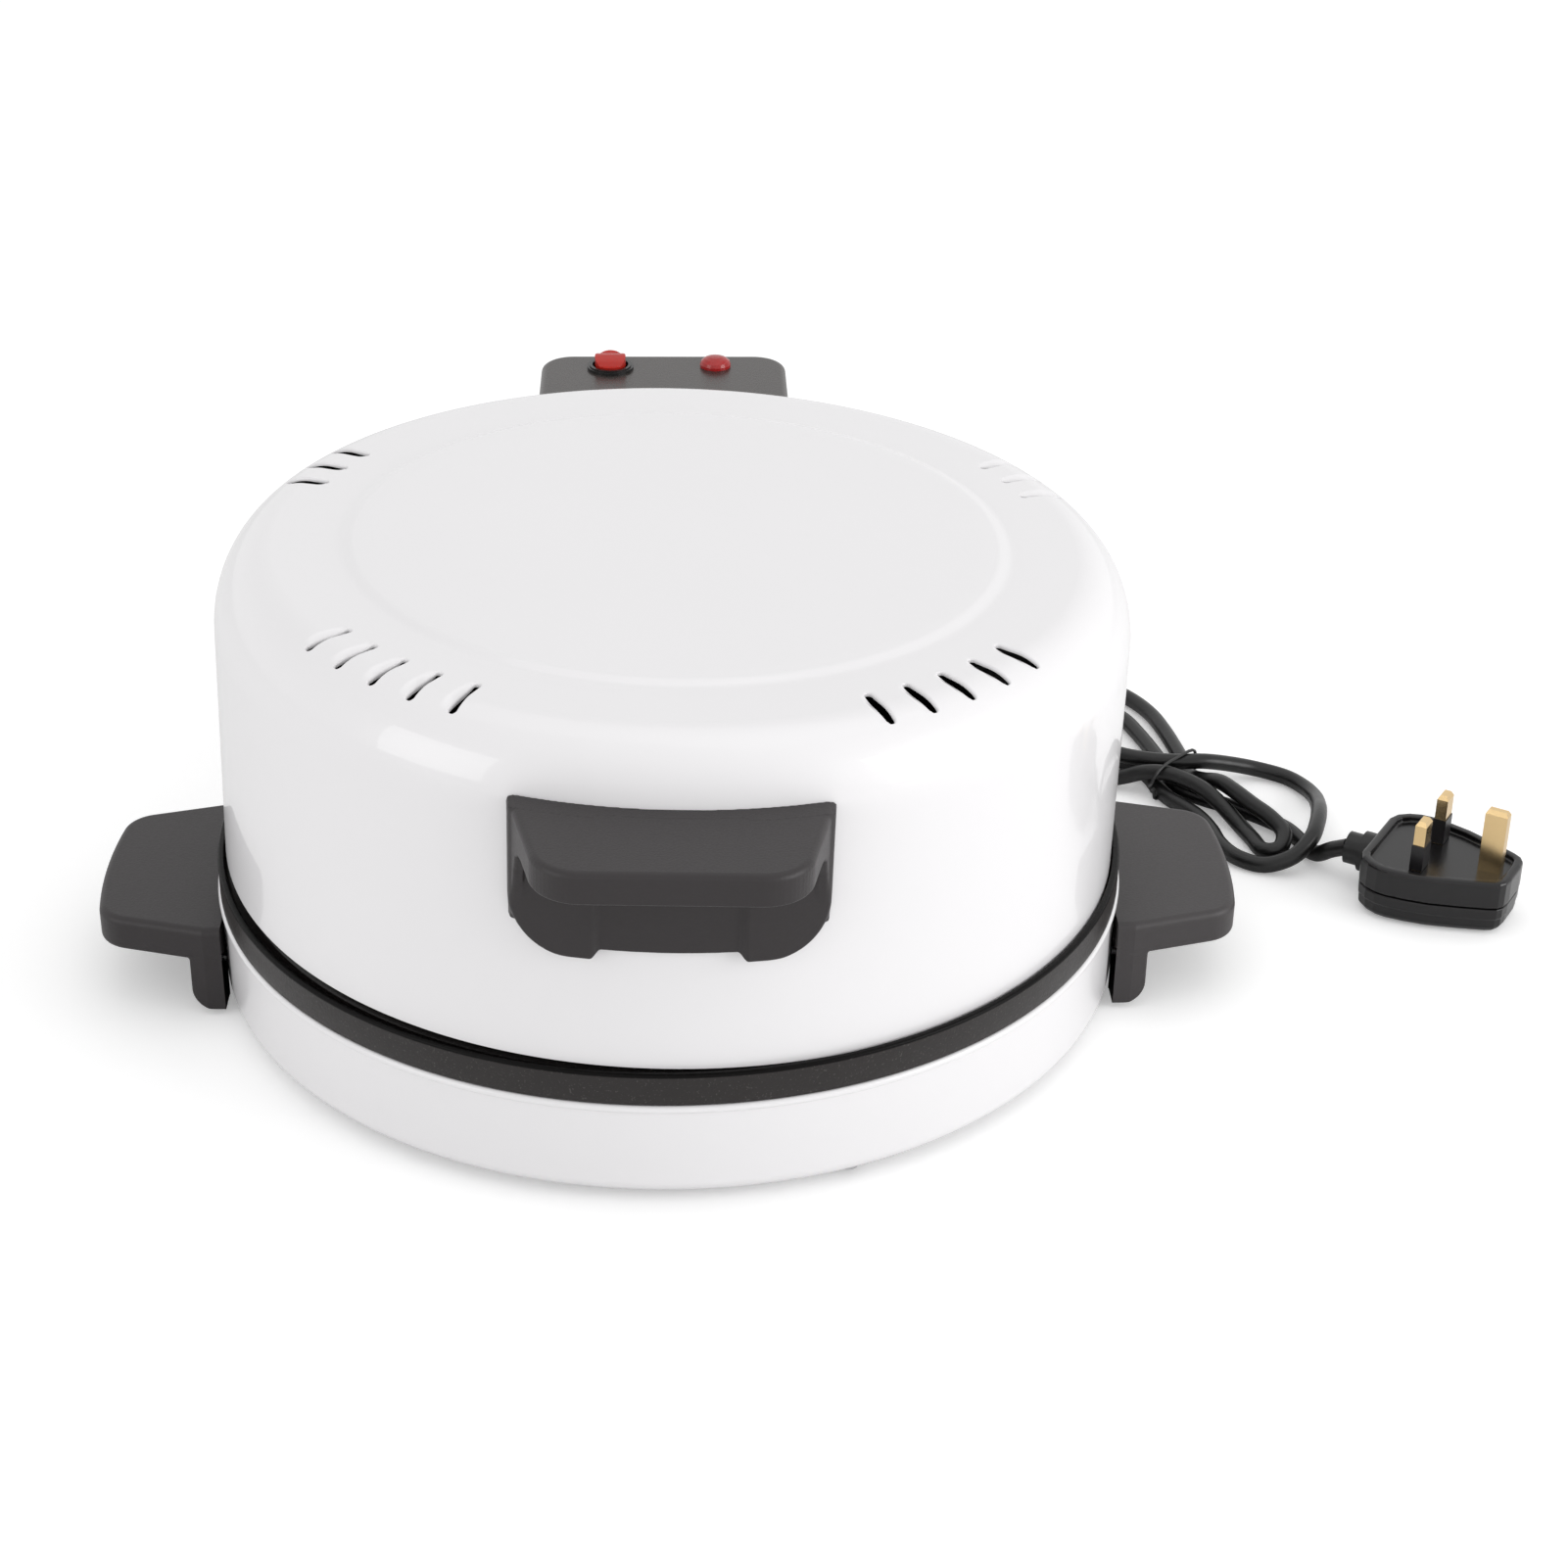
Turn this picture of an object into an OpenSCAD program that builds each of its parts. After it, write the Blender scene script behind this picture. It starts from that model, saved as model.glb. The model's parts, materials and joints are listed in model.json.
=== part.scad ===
/* [Baking plate] */
// outside radius of the plate's rim band
plate_r = 150; // [120:0.5:170]
// height of the rim band
band_h = 11; // [9:0.5:16]
// wall thickness of the rim band
rim_t = 2.2; // [1.6:0.1:3.5]
// width of the groove between the rim and the cooking surface
groove_w = 5.8; // [4:0.2:10]
// depth of the groove below the rim's top
groove_drop = 3.2; // [2.8:0.1:4.5]
// depth of the cooking surface's edge below the rim's top
cook_drop = 1.1; // [0.6:0.1:2]
// rise of the cooking surface at its middle
cook_dome = 0.5; // [0:0.1:1.5]
// thickness of the plate's casting
casting_t = 6; // [4.5:0.5:9]

/* [Base pan] */
// height of the pan's wall
pan_h = 32.6; // [26:0.2:45]
// thickness of the pan's sheet
pan_t = 1; // [0.6:0.1:1.6]
// how far the pan's wall stands inside the rim band
pan_inset = 0.3; // [0:0.1:2]
// radius of the rolled edge at the pan's top
bead_r = 1.3; // [1:0.1:2]
// radius of the pan's lower corner
pan_corner = 5; // [2:0.5:8]
// width of the flange under the pan
pan_flange = 11; // [7:0.5:16]
// height of the rubber feet below the pan
foot_h = 4; // [2:0.5:10]
// radius of a rubber foot
foot_r = 9; // [6:0.5:14]
// distance of the feet from the pan's wall
foot_in = 34; // [27:1:45]

/* [Lid shell] */
// running gap between the lid's edge and the rim band
lid_nest = 0.7; // [0.5:0.1:1.5]
// gap between the lid's edge and the rim's top
lid_gap = 0.4; // [0.3:0.1:1.5]
// total height of the lid shell
lid_h = 104.2; // [98:0.2:120]
// how much narrower the wall is at its top
lid_draft = 0.6; // [0:0.1:3]
// height of the rounded shoulder
shoulder_h = 25.4; // [18:0.2:34]
// width of the rounded shoulder
shoulder_w = 19.2; // [14:0.2:26]
// thickness of the lid's sheet
lid_t = 1; // [0.6:0.1:1.6]
// sideways lean of the closed lid, in degrees
lid_lean = 1.3; // [0:0.1:1.3]
// distance of the raised disc's ramp from the lid's wall
disc_margin = 39.5; // [36:0.5:50]
// width of the ramp
disc_ramp = 5; // [2:0.5:8]
// rise of the disc
disc_rise = 1.2; // [0.4:0.1:3]

/* [Vent slots] */
// width of a slot
slot_w = 2.4; // [1.6:0.1:3.2]
// length of a slot
slot_len = 15.2; // [11:0.1:18]
// distance of the slots' outer ends from the lid's wall
slot_margin = 10.8; // [8:0.1:12]
// angle between two slots
slot_pitch = 6.25; // [5.2:0.05:8]
// angle of a front group's middle from the handle
front_group_angle = 40; // [34:0.2:50]
// sideways turn of both front groups, in degrees
front_turn = -0.85; // [-2:0.05:2]
// slots in a front group
front_count = 5; // [3:1:5]
// angle of the first rear slot from the side handles' line
rear_first_angle = 18.6; // [14:0.2:24]
// slots in a rear group
rear_count = 3; // [2:1:4]
// depth of the lip turned in round a slot
slot_lip_h = 1.2; // [0.8:0.1:3.5]
// thickness of that lip
slot_lip_t = 0.6; // [0.4:0.1:0.9]

/* [Inside the lid] */
// flat height of the reflector above the lid's edge
reflector_h = 66; // [58:1:72]
// height of the reflector's edge above the lid's edge
reflector_edge_h = 13; // [8:1:20]
// distance of the reflector's fold from the hangers' screws
reflector_fold = 11.4; // [7:0.2:16]
// thickness of the reflector's sheet
reflector_t = 0.8; // [0.5:0.1:1.2]
// width of the reflector's edge flange
reflector_flange = 4; // [2:0.5:6]
// drop of the upper heating element below the reflector
upper_drop = 12; // [9:0.5:16]

/* [Heating elements] */
// distance of both element rings from the cooking surface's edge
element_in = 47; // [40:0.5:60]
// thickness of the element's tube
element_d = 6.6; // [5:0.2:8]
// angle left open between an element's two ends
element_gap = 26; // [18:1:40]
// width of an element clip
clip_w = 8; // [6:0.5:12]
// distance of a clip's screw from the element's tube
clip_reach = 6; // [5:0.5:8]
// length of the lower element's turned-down ends
lower_end = 14; // [8:1:16]
// length of the upper element's turned-up ends
upper_end = 22; // [16:1:26]
// height of the tray under the lower element
tray_h = 17; // [12:0.5:17]
// radius of the tray's middle hole
tray_hole = 18; // [13:0.5:30]
// diameter of the thermostat
thermostat_d = 22; // [16:0.5:24]

/* [Front handle] */
// how far the handle reaches out from the plate's band
handle_out = 32; // [24:0.5:40]
// half width of the handle at the lid
handle_half = 47; // [36:0.5:52]
// half width of the handle at its front corners
handle_front_half = 39.5; // [30:0.5:46]
// radius of the handle's front corners
handle_corner = 15; // [8:0.5:16]
// sideways place of the handle on the lid
handle_shift = -1.6; // [-4:0.1:4]
// height of the handle's top above the lid's edge
handle_top_h = 86; // [78:0.5:92]
// height of the handle's front lip
handle_lip = 9.8; // [8:0.1:16]
// thickness of the handle's shelf and lip
handle_t = 3; // [2:0.2:4]
// height of the back plate's lower edge above the lid's edge
handle_foot_h = 38.5; // [30:0.5:46]
// how much higher the back plate's middle ends
handle_arch = 2.5; // [1:0.5:10]
// half width of the raised middle
arch_half = 21; // [14:0.5:26]
// radius of the back plate's lower corners
pad_corner = 18; // [10:0.5:20]
// thickness of the back plate at its pads
pad_t = 4.6; // [4:0.1:7]
// thickness of the back plate's recessed middle
web_t = 2.6; // [2:0.1:3.6]

/* [Side handles] */
// how far a side handle reaches out from the plate's band
side_out = 39.5; // [32:0.5:50]
// half width of a side handle at the pan
side_half = 43.3; // [34:0.1:52]
// half width of a side handle at its outer end
side_end_half = 36; // [28:0.5:42]
// radius of its outer corners
side_corner = 12; // [6:0.5:14]
// distance of its top below the rim band
side_drop = 4.1; // [3:0.1:7]
// height of its skirt
side_skirt = 12; // [9:0.5:14]
// thickness of its walls
side_t = 3; // [2.4:0.2:4]
// depth of the leg along the pan
side_leg = 8; // [7.5:0.5:15]
// radius of the leg's lower corner
side_leg_round = 7; // [4:0.5:7]
// height of the leg's lower end above the table
side_leg_clear = 2; // [1:0.5:4]

/* [Rear housing] */
// half width of the housing
box_half = 46; // [38:0.5:54]
// how far the housing reaches out from the plate's band
box_out = 52; // [48:0.5:60]
// height of the housing's top above the rim band
box_top_h = 90.4; // [82:0.2:96]
// height of the housing's bottom above the rim band
box_low_h = 14.4; // [12:0.2:20]
// sideways place of the housing
box_shift = -2; // [-4:0.5:4]
// radius of the housing's rear corners
box_corner = 12; // [6:0.5:16]
// thickness of the housing's walls
box_t = 2.5; // [2:0.1:3.5]
// distance of the housing's screws from its side walls
box_screw_in = 12; // [8:0.5:14]
// length of the housing's screws
box_screw_len = 16; // [12:1:18]

/* [Switch and lamp] */
// distance of the switch from the housing's middle
switch_x = 22; // [17:0.5:26]
// distance of switch and lamp from the housing's rear
switch_in = 14; // [12:0.5:17]
// radius of the switch's bezel
bezel_r = 8.7; // [8.2:0.1:10]
// height of the bezel
bezel_h = 1.5; // [1:0.1:2.5]
// radius of the rocker
rocker_r = 5.75; // [5:0.05:6]
// turn of the rocker between off and on
rocker_turn = 32; // [14:1:34]
// gap round the rocker in its bezel
rocker_gap = 1; // [0.9:0.05:1.1]
// distance of the lamp from the housing's middle
lamp_x = 17.5; // [14:0.5:26]
// radius of the lamp's lens
lamp_r = 5.8; // [4:0.1:7]

/* [Hinge] */
// distance of the hinge pin behind the plate's band
hinge_out = 15.5; // [15:0.1:18]
// height of the hinge pin above the rim's top
hinge_up = 1.4; // [0.5:0.1:4]
// radius of the hinge pin
pin_r = 2.5; // [2:0.1:3]
// running gap between the pin and the leaf
pin_play = 0.05; // [0.02:0.01:0.1]
// wall round the pin in the leaf and the ears
knuckle_t = 3.5; // [3:0.1:4]
// half width of the hinge leaf
leaf_half = 25.4; // [18:0.2:30]
// thickness of the hinge leaf
leaf_t = 2.5; // [2:0.1:3.5]
// height of the leaf inside the housing
leaf_rise = 28; // [22:1:34]
// side gap between the leaf and an ear
ear_gap = 0.5; // [0.3:0.1:1]
// thickness of an ear
ear_t = 5; // [3:0.5:7]

/* [Mains lead] */
// diameter of the mains lead
cord_d = 6; // [5:0.1:6.1]
// angle of the lead's exit from the side handles' line
exit_angle = 62; // [56:1:64]
// height of the lead's exit above the table
exit_z = 14; // [12:0.5:18]
// length of the strain relief
relief_len = 26.3; // [20:0.1:30]
// thickness of the tie's wire
tie_d = 1.2; // [0.8:0.1:1.6]

/* [Plug] */
// height of the plug's body
plug_h = 21; // [18:0.5:24]
// height of the plug's cover
plug_cover_h = 10.5; // [8:0.5:12]
// depth of the recess in the plug's pin face
plug_recess = 2; // [1:0.2:3]
// height of the earth pin above the recessed face
earth_pin_h = 23.7; // [22:0.1:25]
// height of the two current pins above the recessed face
line_pin_h = 18.7; // [17:0.1:20]

/* [Hidden] */
$fn = 72;

// running and fitting gaps
play = 0.1;
seat = 0.3;

// heights above the table
pan_z = foot_h;
pan_top = pan_z + pan_h;
rim_top = pan_top + band_h;
cook_z = rim_top - cook_drop;
groove_z = rim_top - groove_drop;
casting_z = cook_z - casting_t;
lid_z = rim_top + lid_gap;
lid_top = lid_z + lid_h;
wall_top = lid_top - shoulder_h;

// radii about the plate's axis
cook_r = plate_r - rim_t - groove_w;
element_r = cook_r - element_in;
pan_r = plate_r - pan_inset;
lid_r = plate_r - rim_t - lid_nest;
lid_top_r = lid_r - lid_draft;
flat_r = lid_top_r - shoulder_w;
disc_low_r = lid_top_r - disc_margin;
disc_r = disc_low_r - disc_ramp;
slot_out_r = lid_top_r - slot_margin;
slot_in_r = slot_out_r - slot_len;

// the part stands with the middle of its outline on the frame's axis
front_reach = plate_r + handle_out;
back_reach = plate_r + box_out;
axis_y = (front_reach - back_reach) / 2;

// hinge line and housing
hinge_y = plate_r + hinge_out;
hinge_z = rim_top + hinge_up;
knuckle_r = pin_r + knuckle_t;
leaf_y = hinge_y - leaf_t / 2 + 0.5;
box_top = rim_top + box_top_h;
box_low = rim_top + box_low_h;
leaf_top = box_low + leaf_rise;
switch_y = back_reach - switch_in;
box_screw_x = box_half - box_screw_in;
box_screw_y = sqrt(pow(lid_r - lid_t - 1.2, 2) - pow(box_screw_x + 2, 2)) - 1.2;
box_screw_z = [box_low + 12, box_top - 18];
rocker_z = box_top + bezel_h - 1.4;

// elements and reflector
lower_element_z = casting_z - element_d / 2;
reflector_z = lid_z + reflector_h;
reflector_edge_z = lid_z + reflector_edge_h;
upper_element_z = reflector_z - upper_drop;

// colours
white = [0.93, 0.92, 0.92];
black = [0.1, 0.1, 0.1];
charcoal = [0.24, 0.24, 0.25];
steel = [0.7, 0.7, 0.72];
brass = [0.86, 0.72, 0.45];

module place() {
    translate([0, axis_y, 0])
    children();
}

module lean() {
    translate([0, axis_y, lid_z])
    rotate([0, lid_lean, 0])
    translate([0, 0, -lid_z])
    children();
}

// screw with its head up, the head's underside at z = 0
module screw(d = 3, l = 10, head_d = 6, head_h = 1.8) {
    difference() {
        union() {
            cylinder(h = head_h, d = head_d, $fn = 24);
            translate([0, 0, -l])
            cylinder(h = l, d = d, $fn = 24);
        }
        translate([-head_d * 0.32, -0.4, head_h - 0.8])
        cube([head_d * 0.64, 0.8, 2]);
        translate([-0.4, -head_d * 0.32, head_h - 0.8])
        cube([0.8, head_d * 0.64, 2]);
    }
}

// pan, cover and feet
module base_pan() {
    color(white)
    place()
    difference() {
        rotate_extrude()
        union() {
            polygon([
                [pan_r - pan_flange, pan_z],
                [pan_r - pan_corner, pan_z],
                [pan_r - pan_corner * 0.5, pan_z + pan_corner * 0.134],
                [pan_r - pan_corner * 0.134, pan_z + pan_corner * 0.5],
                [pan_r, pan_z + pan_corner],
                [pan_r, pan_top],
                [pan_r - pan_t, pan_top],
                [pan_r - pan_t, pan_z + pan_corner],
                [pan_r - pan_t - pan_corner * 0.15, pan_z + pan_corner * 0.6],
                [pan_r - pan_corner * 0.6, pan_z + pan_t + pan_corner * 0.12],
                [pan_r - pan_corner, pan_z + pan_t],
                [pan_r - pan_flange, pan_z + pan_t]
            ]);
            translate([pan_r + pan_inset + 0.7 - bead_r, pan_top - bead_r])
            circle(r = bead_r, $fn = 24);
        }
        rotate([0, 0, exit_angle])
        translate([pan_r - 5, 0, exit_z])
        rotate([0, 90, 0])
        cylinder(h = 10, d = 9, $fn = 32);
        for (a = [22, 112, 202, 292])
        rotate([0, 0, a])
        translate([cover_screw_r, 0, pan_z - 1])
        cylinder(h = 4, d = 3.2, $fn = 24);
        for (a = [0, 180])
        rotate([0, 0, a])
        for (y = [-26, 26])
        translate([pan_r - 6, y, side_screw_z])
        rotate([0, 90, 0])
        cylinder(h = 20, d = 3.2, $fn = 24);
        for (x = [-14, 14])
        for (z = bracket_screw_z)
        translate([x, pan_r - 6, z])
        rotate([-90, 0, 0])
        cylinder(h = 20, d = 3.2, $fn = 24);
    }
}

cover_r = pan_r - pan_corner - 1;
cover_z = pan_z + pan_t;
cover_screw_r = pan_r - pan_flange + 4;

module bottom_cover() {
    color(steel)
    place()
    difference() {
        rotate_extrude()
        polygon([
            [0, cover_z + 2.5],
            [46, cover_z + 2.5],
            [50, cover_z],
            [cover_r, cover_z],
            [cover_r, cover_z + pan_t],
            [50.4, cover_z + pan_t],
            [46.4, cover_z + 2.5 + pan_t],
            [0, cover_z + 2.5 + pan_t]
        ]);
        for (a = [0 : 20 : 340])
        rotate([0, 0, a])
        translate([62, -1.5, cover_z - 1])
        cube([26, 3, 5]);
        for (a = [45, 135, 225, 315])
        rotate([0, 0, a])
        translate([pan_r - foot_in, 0, cover_z - 1])
        cylinder(h = 5, r = 2.5, $fn = 24);
        for (a = [22, 112, 202, 292])
        rotate([0, 0, a])
        translate([cover_screw_r, 0, cover_z - 1])
        cylinder(h = 5, d = 3.2, $fn = 24);
    }
}

// screws through the pan's flange into the cover
module cover_screws() {
    color(steel)
    place()
    for (a = [22, 112, 202, 292])
    rotate([0, 0, a])
    translate([cover_screw_r, 0, pan_z])
    rotate([180, 0, 0])
    screw(d = 3, l = 2 * pan_t + 3, head_d = 6, head_h = 1.4);
}

module foot() {
    difference() {
        rotate_extrude($fn = 40)
        polygon([
            [0, 0],
            [foot_r - 1.5, 0],
            [foot_r - 0.4, 0.6],
            [foot_r, cover_z],
            [2.5, cover_z],
            [2.5, cover_z + pan_t],
            [4, cover_z + pan_t],
            [2.5, cover_z + pan_t + 2.5],
            [0, cover_z + pan_t + 2.5]
        ]);
        translate([0, 0, -1])
        cylinder(h = 2.2, r = 3.4, $fn = 24);
    }
}

module foot_at(a) {
    color(black)
    place()
    rotate([0, 0, a])
    translate([pan_r - foot_in, 0, 0])
    foot();
}

module foot_front_left() {
    foot_at(225);
}

module foot_front_right() {
    foot_at(315);
}

module foot_rear_left() {
    foot_at(135);
}

module foot_rear_right() {
    foot_at(45);
}

// cast plate with its rim band
boss_r = element_r + element_d / 2 + clip_reach;
boss_z = casting_z - element_d;

module baking_plate() {
    color([0.19, 0.18, 0.18])
    place()
    difference() {
        union() {
            rotate_extrude($fn = 96)
            polygon([
                [0, casting_z],
                [plate_r - rim_t - 2, casting_z],
                [plate_r - rim_t - 1, pan_top],
                [plate_r - 0.4, pan_top],
                [plate_r, pan_top + 0.4],
                [plate_r, rim_top - 0.8],
                [plate_r - 0.8, rim_top],
                [plate_r - rim_t, rim_top],
                [plate_r - rim_t, groove_z],
                [cook_r + 2.6, groove_z],
                [cook_r + 0.8, groove_z + 0.5],
                [cook_r, cook_z],
                [cook_r * 0.66, cook_z + cook_dome * 0.55],
                [cook_r * 0.33, cook_z + cook_dome * 0.9],
                [0, cook_z + cook_dome]
            ]);
            for (a = [0 : 90 : 270])
            rotate([0, 0, a])
            translate([boss_r, 0, boss_z])
            cylinder(h = casting_z - boss_z + 1, d = 7, $fn = 24);
        }
        for (a = [0 : 90 : 270])
        rotate([0, 0, a])
        translate([boss_r, 0, boss_z - 1])
        cylinder(h = 7, d = 3, $fn = 24);
    }
}

// tubular element: an open ring whose ends turn to lead = +1 up or -1 down
module element_ring(z, lead, len) {
    rotate([0, 0, 90 + element_gap / 2])
    rotate_extrude(angle = 360 - element_gap, $fn = 96)
    translate([element_r, z])
    circle(d = element_d, $fn = 24);
    for (s = [-1, 1])
    rotate([0, 0, 90 + s * element_gap / 2])
    translate([element_r, 0, z]) {
        sphere(d = element_d, $fn = 24);
        translate([0, 0, lead > 0 ? 0 : -len])
        cylinder(h = len, d = element_d, $fn = 24);
        translate([0, 0, lead > 0 ? len : -len - 7])
        cylinder(h = 7, d = 2.4, $fn = 16);
    }
}

module lower_element() {
    color([0.35, 0.34, 0.33])
    place()
    element_ring(lower_element_z, -1, lower_end);
}

// strip clips that hold the element to the plate's bosses
module lower_element_clips() {
    color(steel)
    place()
    for (a = [0 : 90 : 270])
    rotate([0, 0, a]) {
        difference() {
            translate([element_r - element_d / 2 - 2, -clip_w / 2, boss_z - 1])
            cube([boss_r - element_r + element_d / 2 + 7, clip_w, 1]);
            translate([boss_r, 0, boss_z - 2])
            cylinder(h = 4, d = 3, $fn = 24);
        }
        translate([boss_r, 0, boss_z - 1])
        rotate([180, 0, 0])
        screw(d = 3, l = 6, head_d = 5.6, head_h = 1.6);
    }
}

lower_tray_z = pan_z + tray_h;

module lower_reflector() {
    color(steel)
    place()
    difference() {
        rotate_extrude()
        polygon([
            [tray_hole, lower_tray_z],
            [pan_r - pan_t - 16, lower_tray_z],
            [pan_r - pan_t - 3, lower_tray_z + 7],
            [pan_r - pan_t - play, lower_tray_z + 7],
            [pan_r - pan_t - play, lower_tray_z + 7.6],
            [pan_r - pan_t - 3.2, lower_tray_z + 7.6],
            [pan_r - pan_t - 16.2, lower_tray_z + 0.6],
            [tray_hole, lower_tray_z + 0.6]
        ]);
        for (s = [-1, 1])
        rotate([0, 0, 90 + s * element_gap / 2])
        translate([element_r, 0, lower_tray_z - 1])
        cylinder(h = 4, d = element_d + 2, $fn = 24);
        translate([0, pan_r - 5.5, lower_tray_z - 1])
        cube([40, 12, 20], center = true);
        for (a = [0, 180])
        rotate([0, 0, a])
        translate([pan_r - 5.5, 0, lower_tray_z + 4])
        cube([12, 60, 20], center = true);
    }
}

// disc thermostat against the plate's underside, with its two tabs
module thermostat() {
    color(black)
    place()
    translate([0, 0, casting_z - 13]) {
        cylinder(h = 8, d = thermostat_d, $fn = 40);
        translate([0, 0, 8])
        cylinder(h = 5, d = thermostat_d - 5, $fn = 40);
        for (x = [-6, 6])
        translate([x - 0.4, -3, -8])
        cube([0.8, 6, 8]);
    }
}

module thermal_fuse() {
    color(steel)
    place()
    translate([34, -6, casting_z - 2])
    rotate([-90, 0, 0]) {
        cylinder(h = 12, d = 4, $fn = 24);
        translate([0, 0, -8])
        cylinder(h = 28, d = 1, $fn = 12);
    }
}

module base_terminal_block() {
    color(white)
    place()
    rotate([0, 0, exit_angle])
    translate([pan_r - 40, -15, cover_z + pan_t])
    difference() {
        cube([16, 30, 12]);
        for (y = [5, 15, 25]) {
            translate([-1, y, 6])
            rotate([0, 90, 0])
            cylinder(h = 18, d = 4, $fn = 20);
            translate([8, y, 6])
            cylinder(h = 8, d = 3.4, $fn = 20);
        }
    }
}

// side handles
side_top = pan_top - side_drop;
side_low = side_top - side_skirt;
side_r = plate_r + side_out;
side_wall_r = pan_r + (side_drop > 2 * bead_r ? 0 : pan_inset + 0.7) + play;
side_screw_z = 12;

// middle of an outer corner, which touches the outer arc from inside
corner_y = side_end_half - side_corner;
corner_x = sqrt(pow(side_r - side_corner, 2) - corner_y * corner_y);

module side_plan(inset) {
    hull() {
        polygon([
            [plate_r - 10, -side_half + inset],
            [plate_r - 10, side_half - inset],
            [plate_r + 2, side_half - inset],
            [plate_r + 2, -side_half + inset]
        ]);
        for (s = [-1, 1])
        translate([corner_x, s * corner_y])
        circle(r = side_corner - inset, $fn = 48);
        intersection() {
            circle(r = side_r - inset, $fn = 180);
            translate([side_r - 20, -corner_y])
            square([20, 2 * corner_y]);
        }
    }
}

module side_handle() {
    difference() {
        union() {
            // shelf with its skirt
            translate([0, 0, side_low])
            linear_extrude(height = side_skirt)
            side_plan(0);
            // leg along the pan, with a rounded lower corner
            intersection() {
                translate([0, 0, side_leg_clear])
                linear_extrude(height = side_low - side_leg_clear + 1)
                side_plan(0);
                translate([0, side_half, 0])
                rotate([90, 0, 0])
                linear_extrude(height = 2 * side_half)
                union() {
                    translate([plate_r - 10, side_leg_clear])
                    square([10 + side_leg - side_leg_round, side_low - side_leg_clear + 1]);
                    translate([plate_r - 10, side_leg_clear + side_leg_round])
                    square([10 + side_leg, side_low - side_leg_clear - side_leg_round + 1]);
                    translate([plate_r + side_leg - side_leg_round, side_leg_clear + side_leg_round])
                    circle(r = side_leg_round, $fn = 48);
                }
            }
        }
        translate([0, 0, -1])
        cylinder(h = 80, r = side_wall_r, $fn = 144);
        // hollow under the shelf
        difference() {
            translate([0, 0, side_low - 1])
            linear_extrude(height = side_skirt + 1 - side_t)
            side_plan(side_t);
            translate([0, 0, -1])
            cylinder(h = 80, r = plate_r + side_leg, $fn = 144);
        }
        // screw bores from the pan
        for (y = [-26, 26])
        translate([plate_r - 6, y, side_screw_z])
        rotate([0, 90, 0])
        cylinder(h = 6 + side_leg - 3, d = 2.9, $fn = 24);
    }
}

module side_handle_right() {
    color(charcoal)
    place()
    side_handle();
}

module side_handle_left() {
    color(charcoal)
    place()
    rotate([0, 0, 180])
    side_handle();
}

module side_handle_screws() {
    color(steel)
    place()
    for (a = [0, 180])
    rotate([0, 0, a])
    for (y = [-26, 26])
    translate([sqrt(pow(pan_r - pan_t, 2) - y * y) - 0.6, y, side_screw_z])
    rotate([0, -90, 0])
    screw(d = 2.9, l = side_leg + 0.5, head_d = 6, head_h = 1.8);
}

// hinge
bracket_screw_z = [13, 25];
ear_in = leaf_half + ear_gap;
ear_out = ear_in + ear_t;
bracket_low = pan_z + 6;
bracket_top = pan_top - 2 * bead_r - 1;

module hinge_bracket() {
    color(steel)
    place()
    difference() {
        union() {
            // curved plate on the pan's wall
            intersection() {
                translate([0, 0, bracket_low])
                difference() {
                    cylinder(h = bracket_top - bracket_low, r = pan_r + 2.5, $fn = 144);
                    translate([0, 0, -1])
                    cylinder(h = 60, r = pan_r, $fn = 144);
                }
                translate([-ear_out, 100, 0])
                cube([2 * ear_out, 100, 80]);
            }
            // ears
            for (s = [-1, 1])
            translate([s > 0 ? ear_in : -ear_out, 0, 0])
            rotate([90, 0, 90])
            linear_extrude(height = ear_t)
            union() {
                polygon([
                    [pan_r - 5, bracket_low],
                    [pan_r + 8, bracket_low],
                    [hinge_y + 4.5, bracket_top - 2],
                    [hinge_y + knuckle_r - 0.2, hinge_z - 1.2],
                    [hinge_y, hinge_z],
                    [hinge_y - knuckle_r + 0.2, hinge_z - 1.2],
                    [plate_r + 5.5, bracket_top + 3],
                    [plate_r + 3.5, bracket_top],
                    [pan_r - 5, bracket_top]
                ]);
                translate([hinge_y, hinge_z])
                circle(r = knuckle_r, $fn = 40);
            }
        }
        cylinder(h = 200, r = pan_r, $fn = 144);
        translate([-60, hinge_y, hinge_z])
        rotate([0, 90, 0])
        cylinder(h = 120, r = pin_r, $fn = 40);
        for (x = [-14, 14])
        for (z = bracket_screw_z)
        translate([x, pan_r - 6, z])
        rotate([-90, 0, 0])
        cylinder(h = 20, d = 3.2, $fn = 24);
    }
}

module hinge_bracket_screws() {
    color(steel)
    place()
    for (x = [-14, 14])
    for (z = bracket_screw_z)
    translate([x, sqrt(pow(pan_r + 2.5, 2) - pow(abs(x) - 3.4, 2)), z])
    rotate([-90, 0, 0])
    screw(d = 3, l = 9, head_d = 6.4, head_h = 2);
}

module hinge_pin() {
    color(steel)
    place()
    translate([-ear_out - 2.4, hinge_y, hinge_z])
    rotate([0, 90, 0])
    difference() {
        cylinder(h = 2 * ear_out + 4.8, r = pin_r, $fn = 40);
        for (x = [1.4, 2 * ear_out + 2.6])
        translate([0, 0, x])
        difference() {
            cylinder(h = 0.8, r = pin_r + 1, $fn = 40);
            translate([0, 0, -1])
            cylinder(h = 3, r = pin_r - 0.6, $fn = 40);
        }
    }
}

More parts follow.
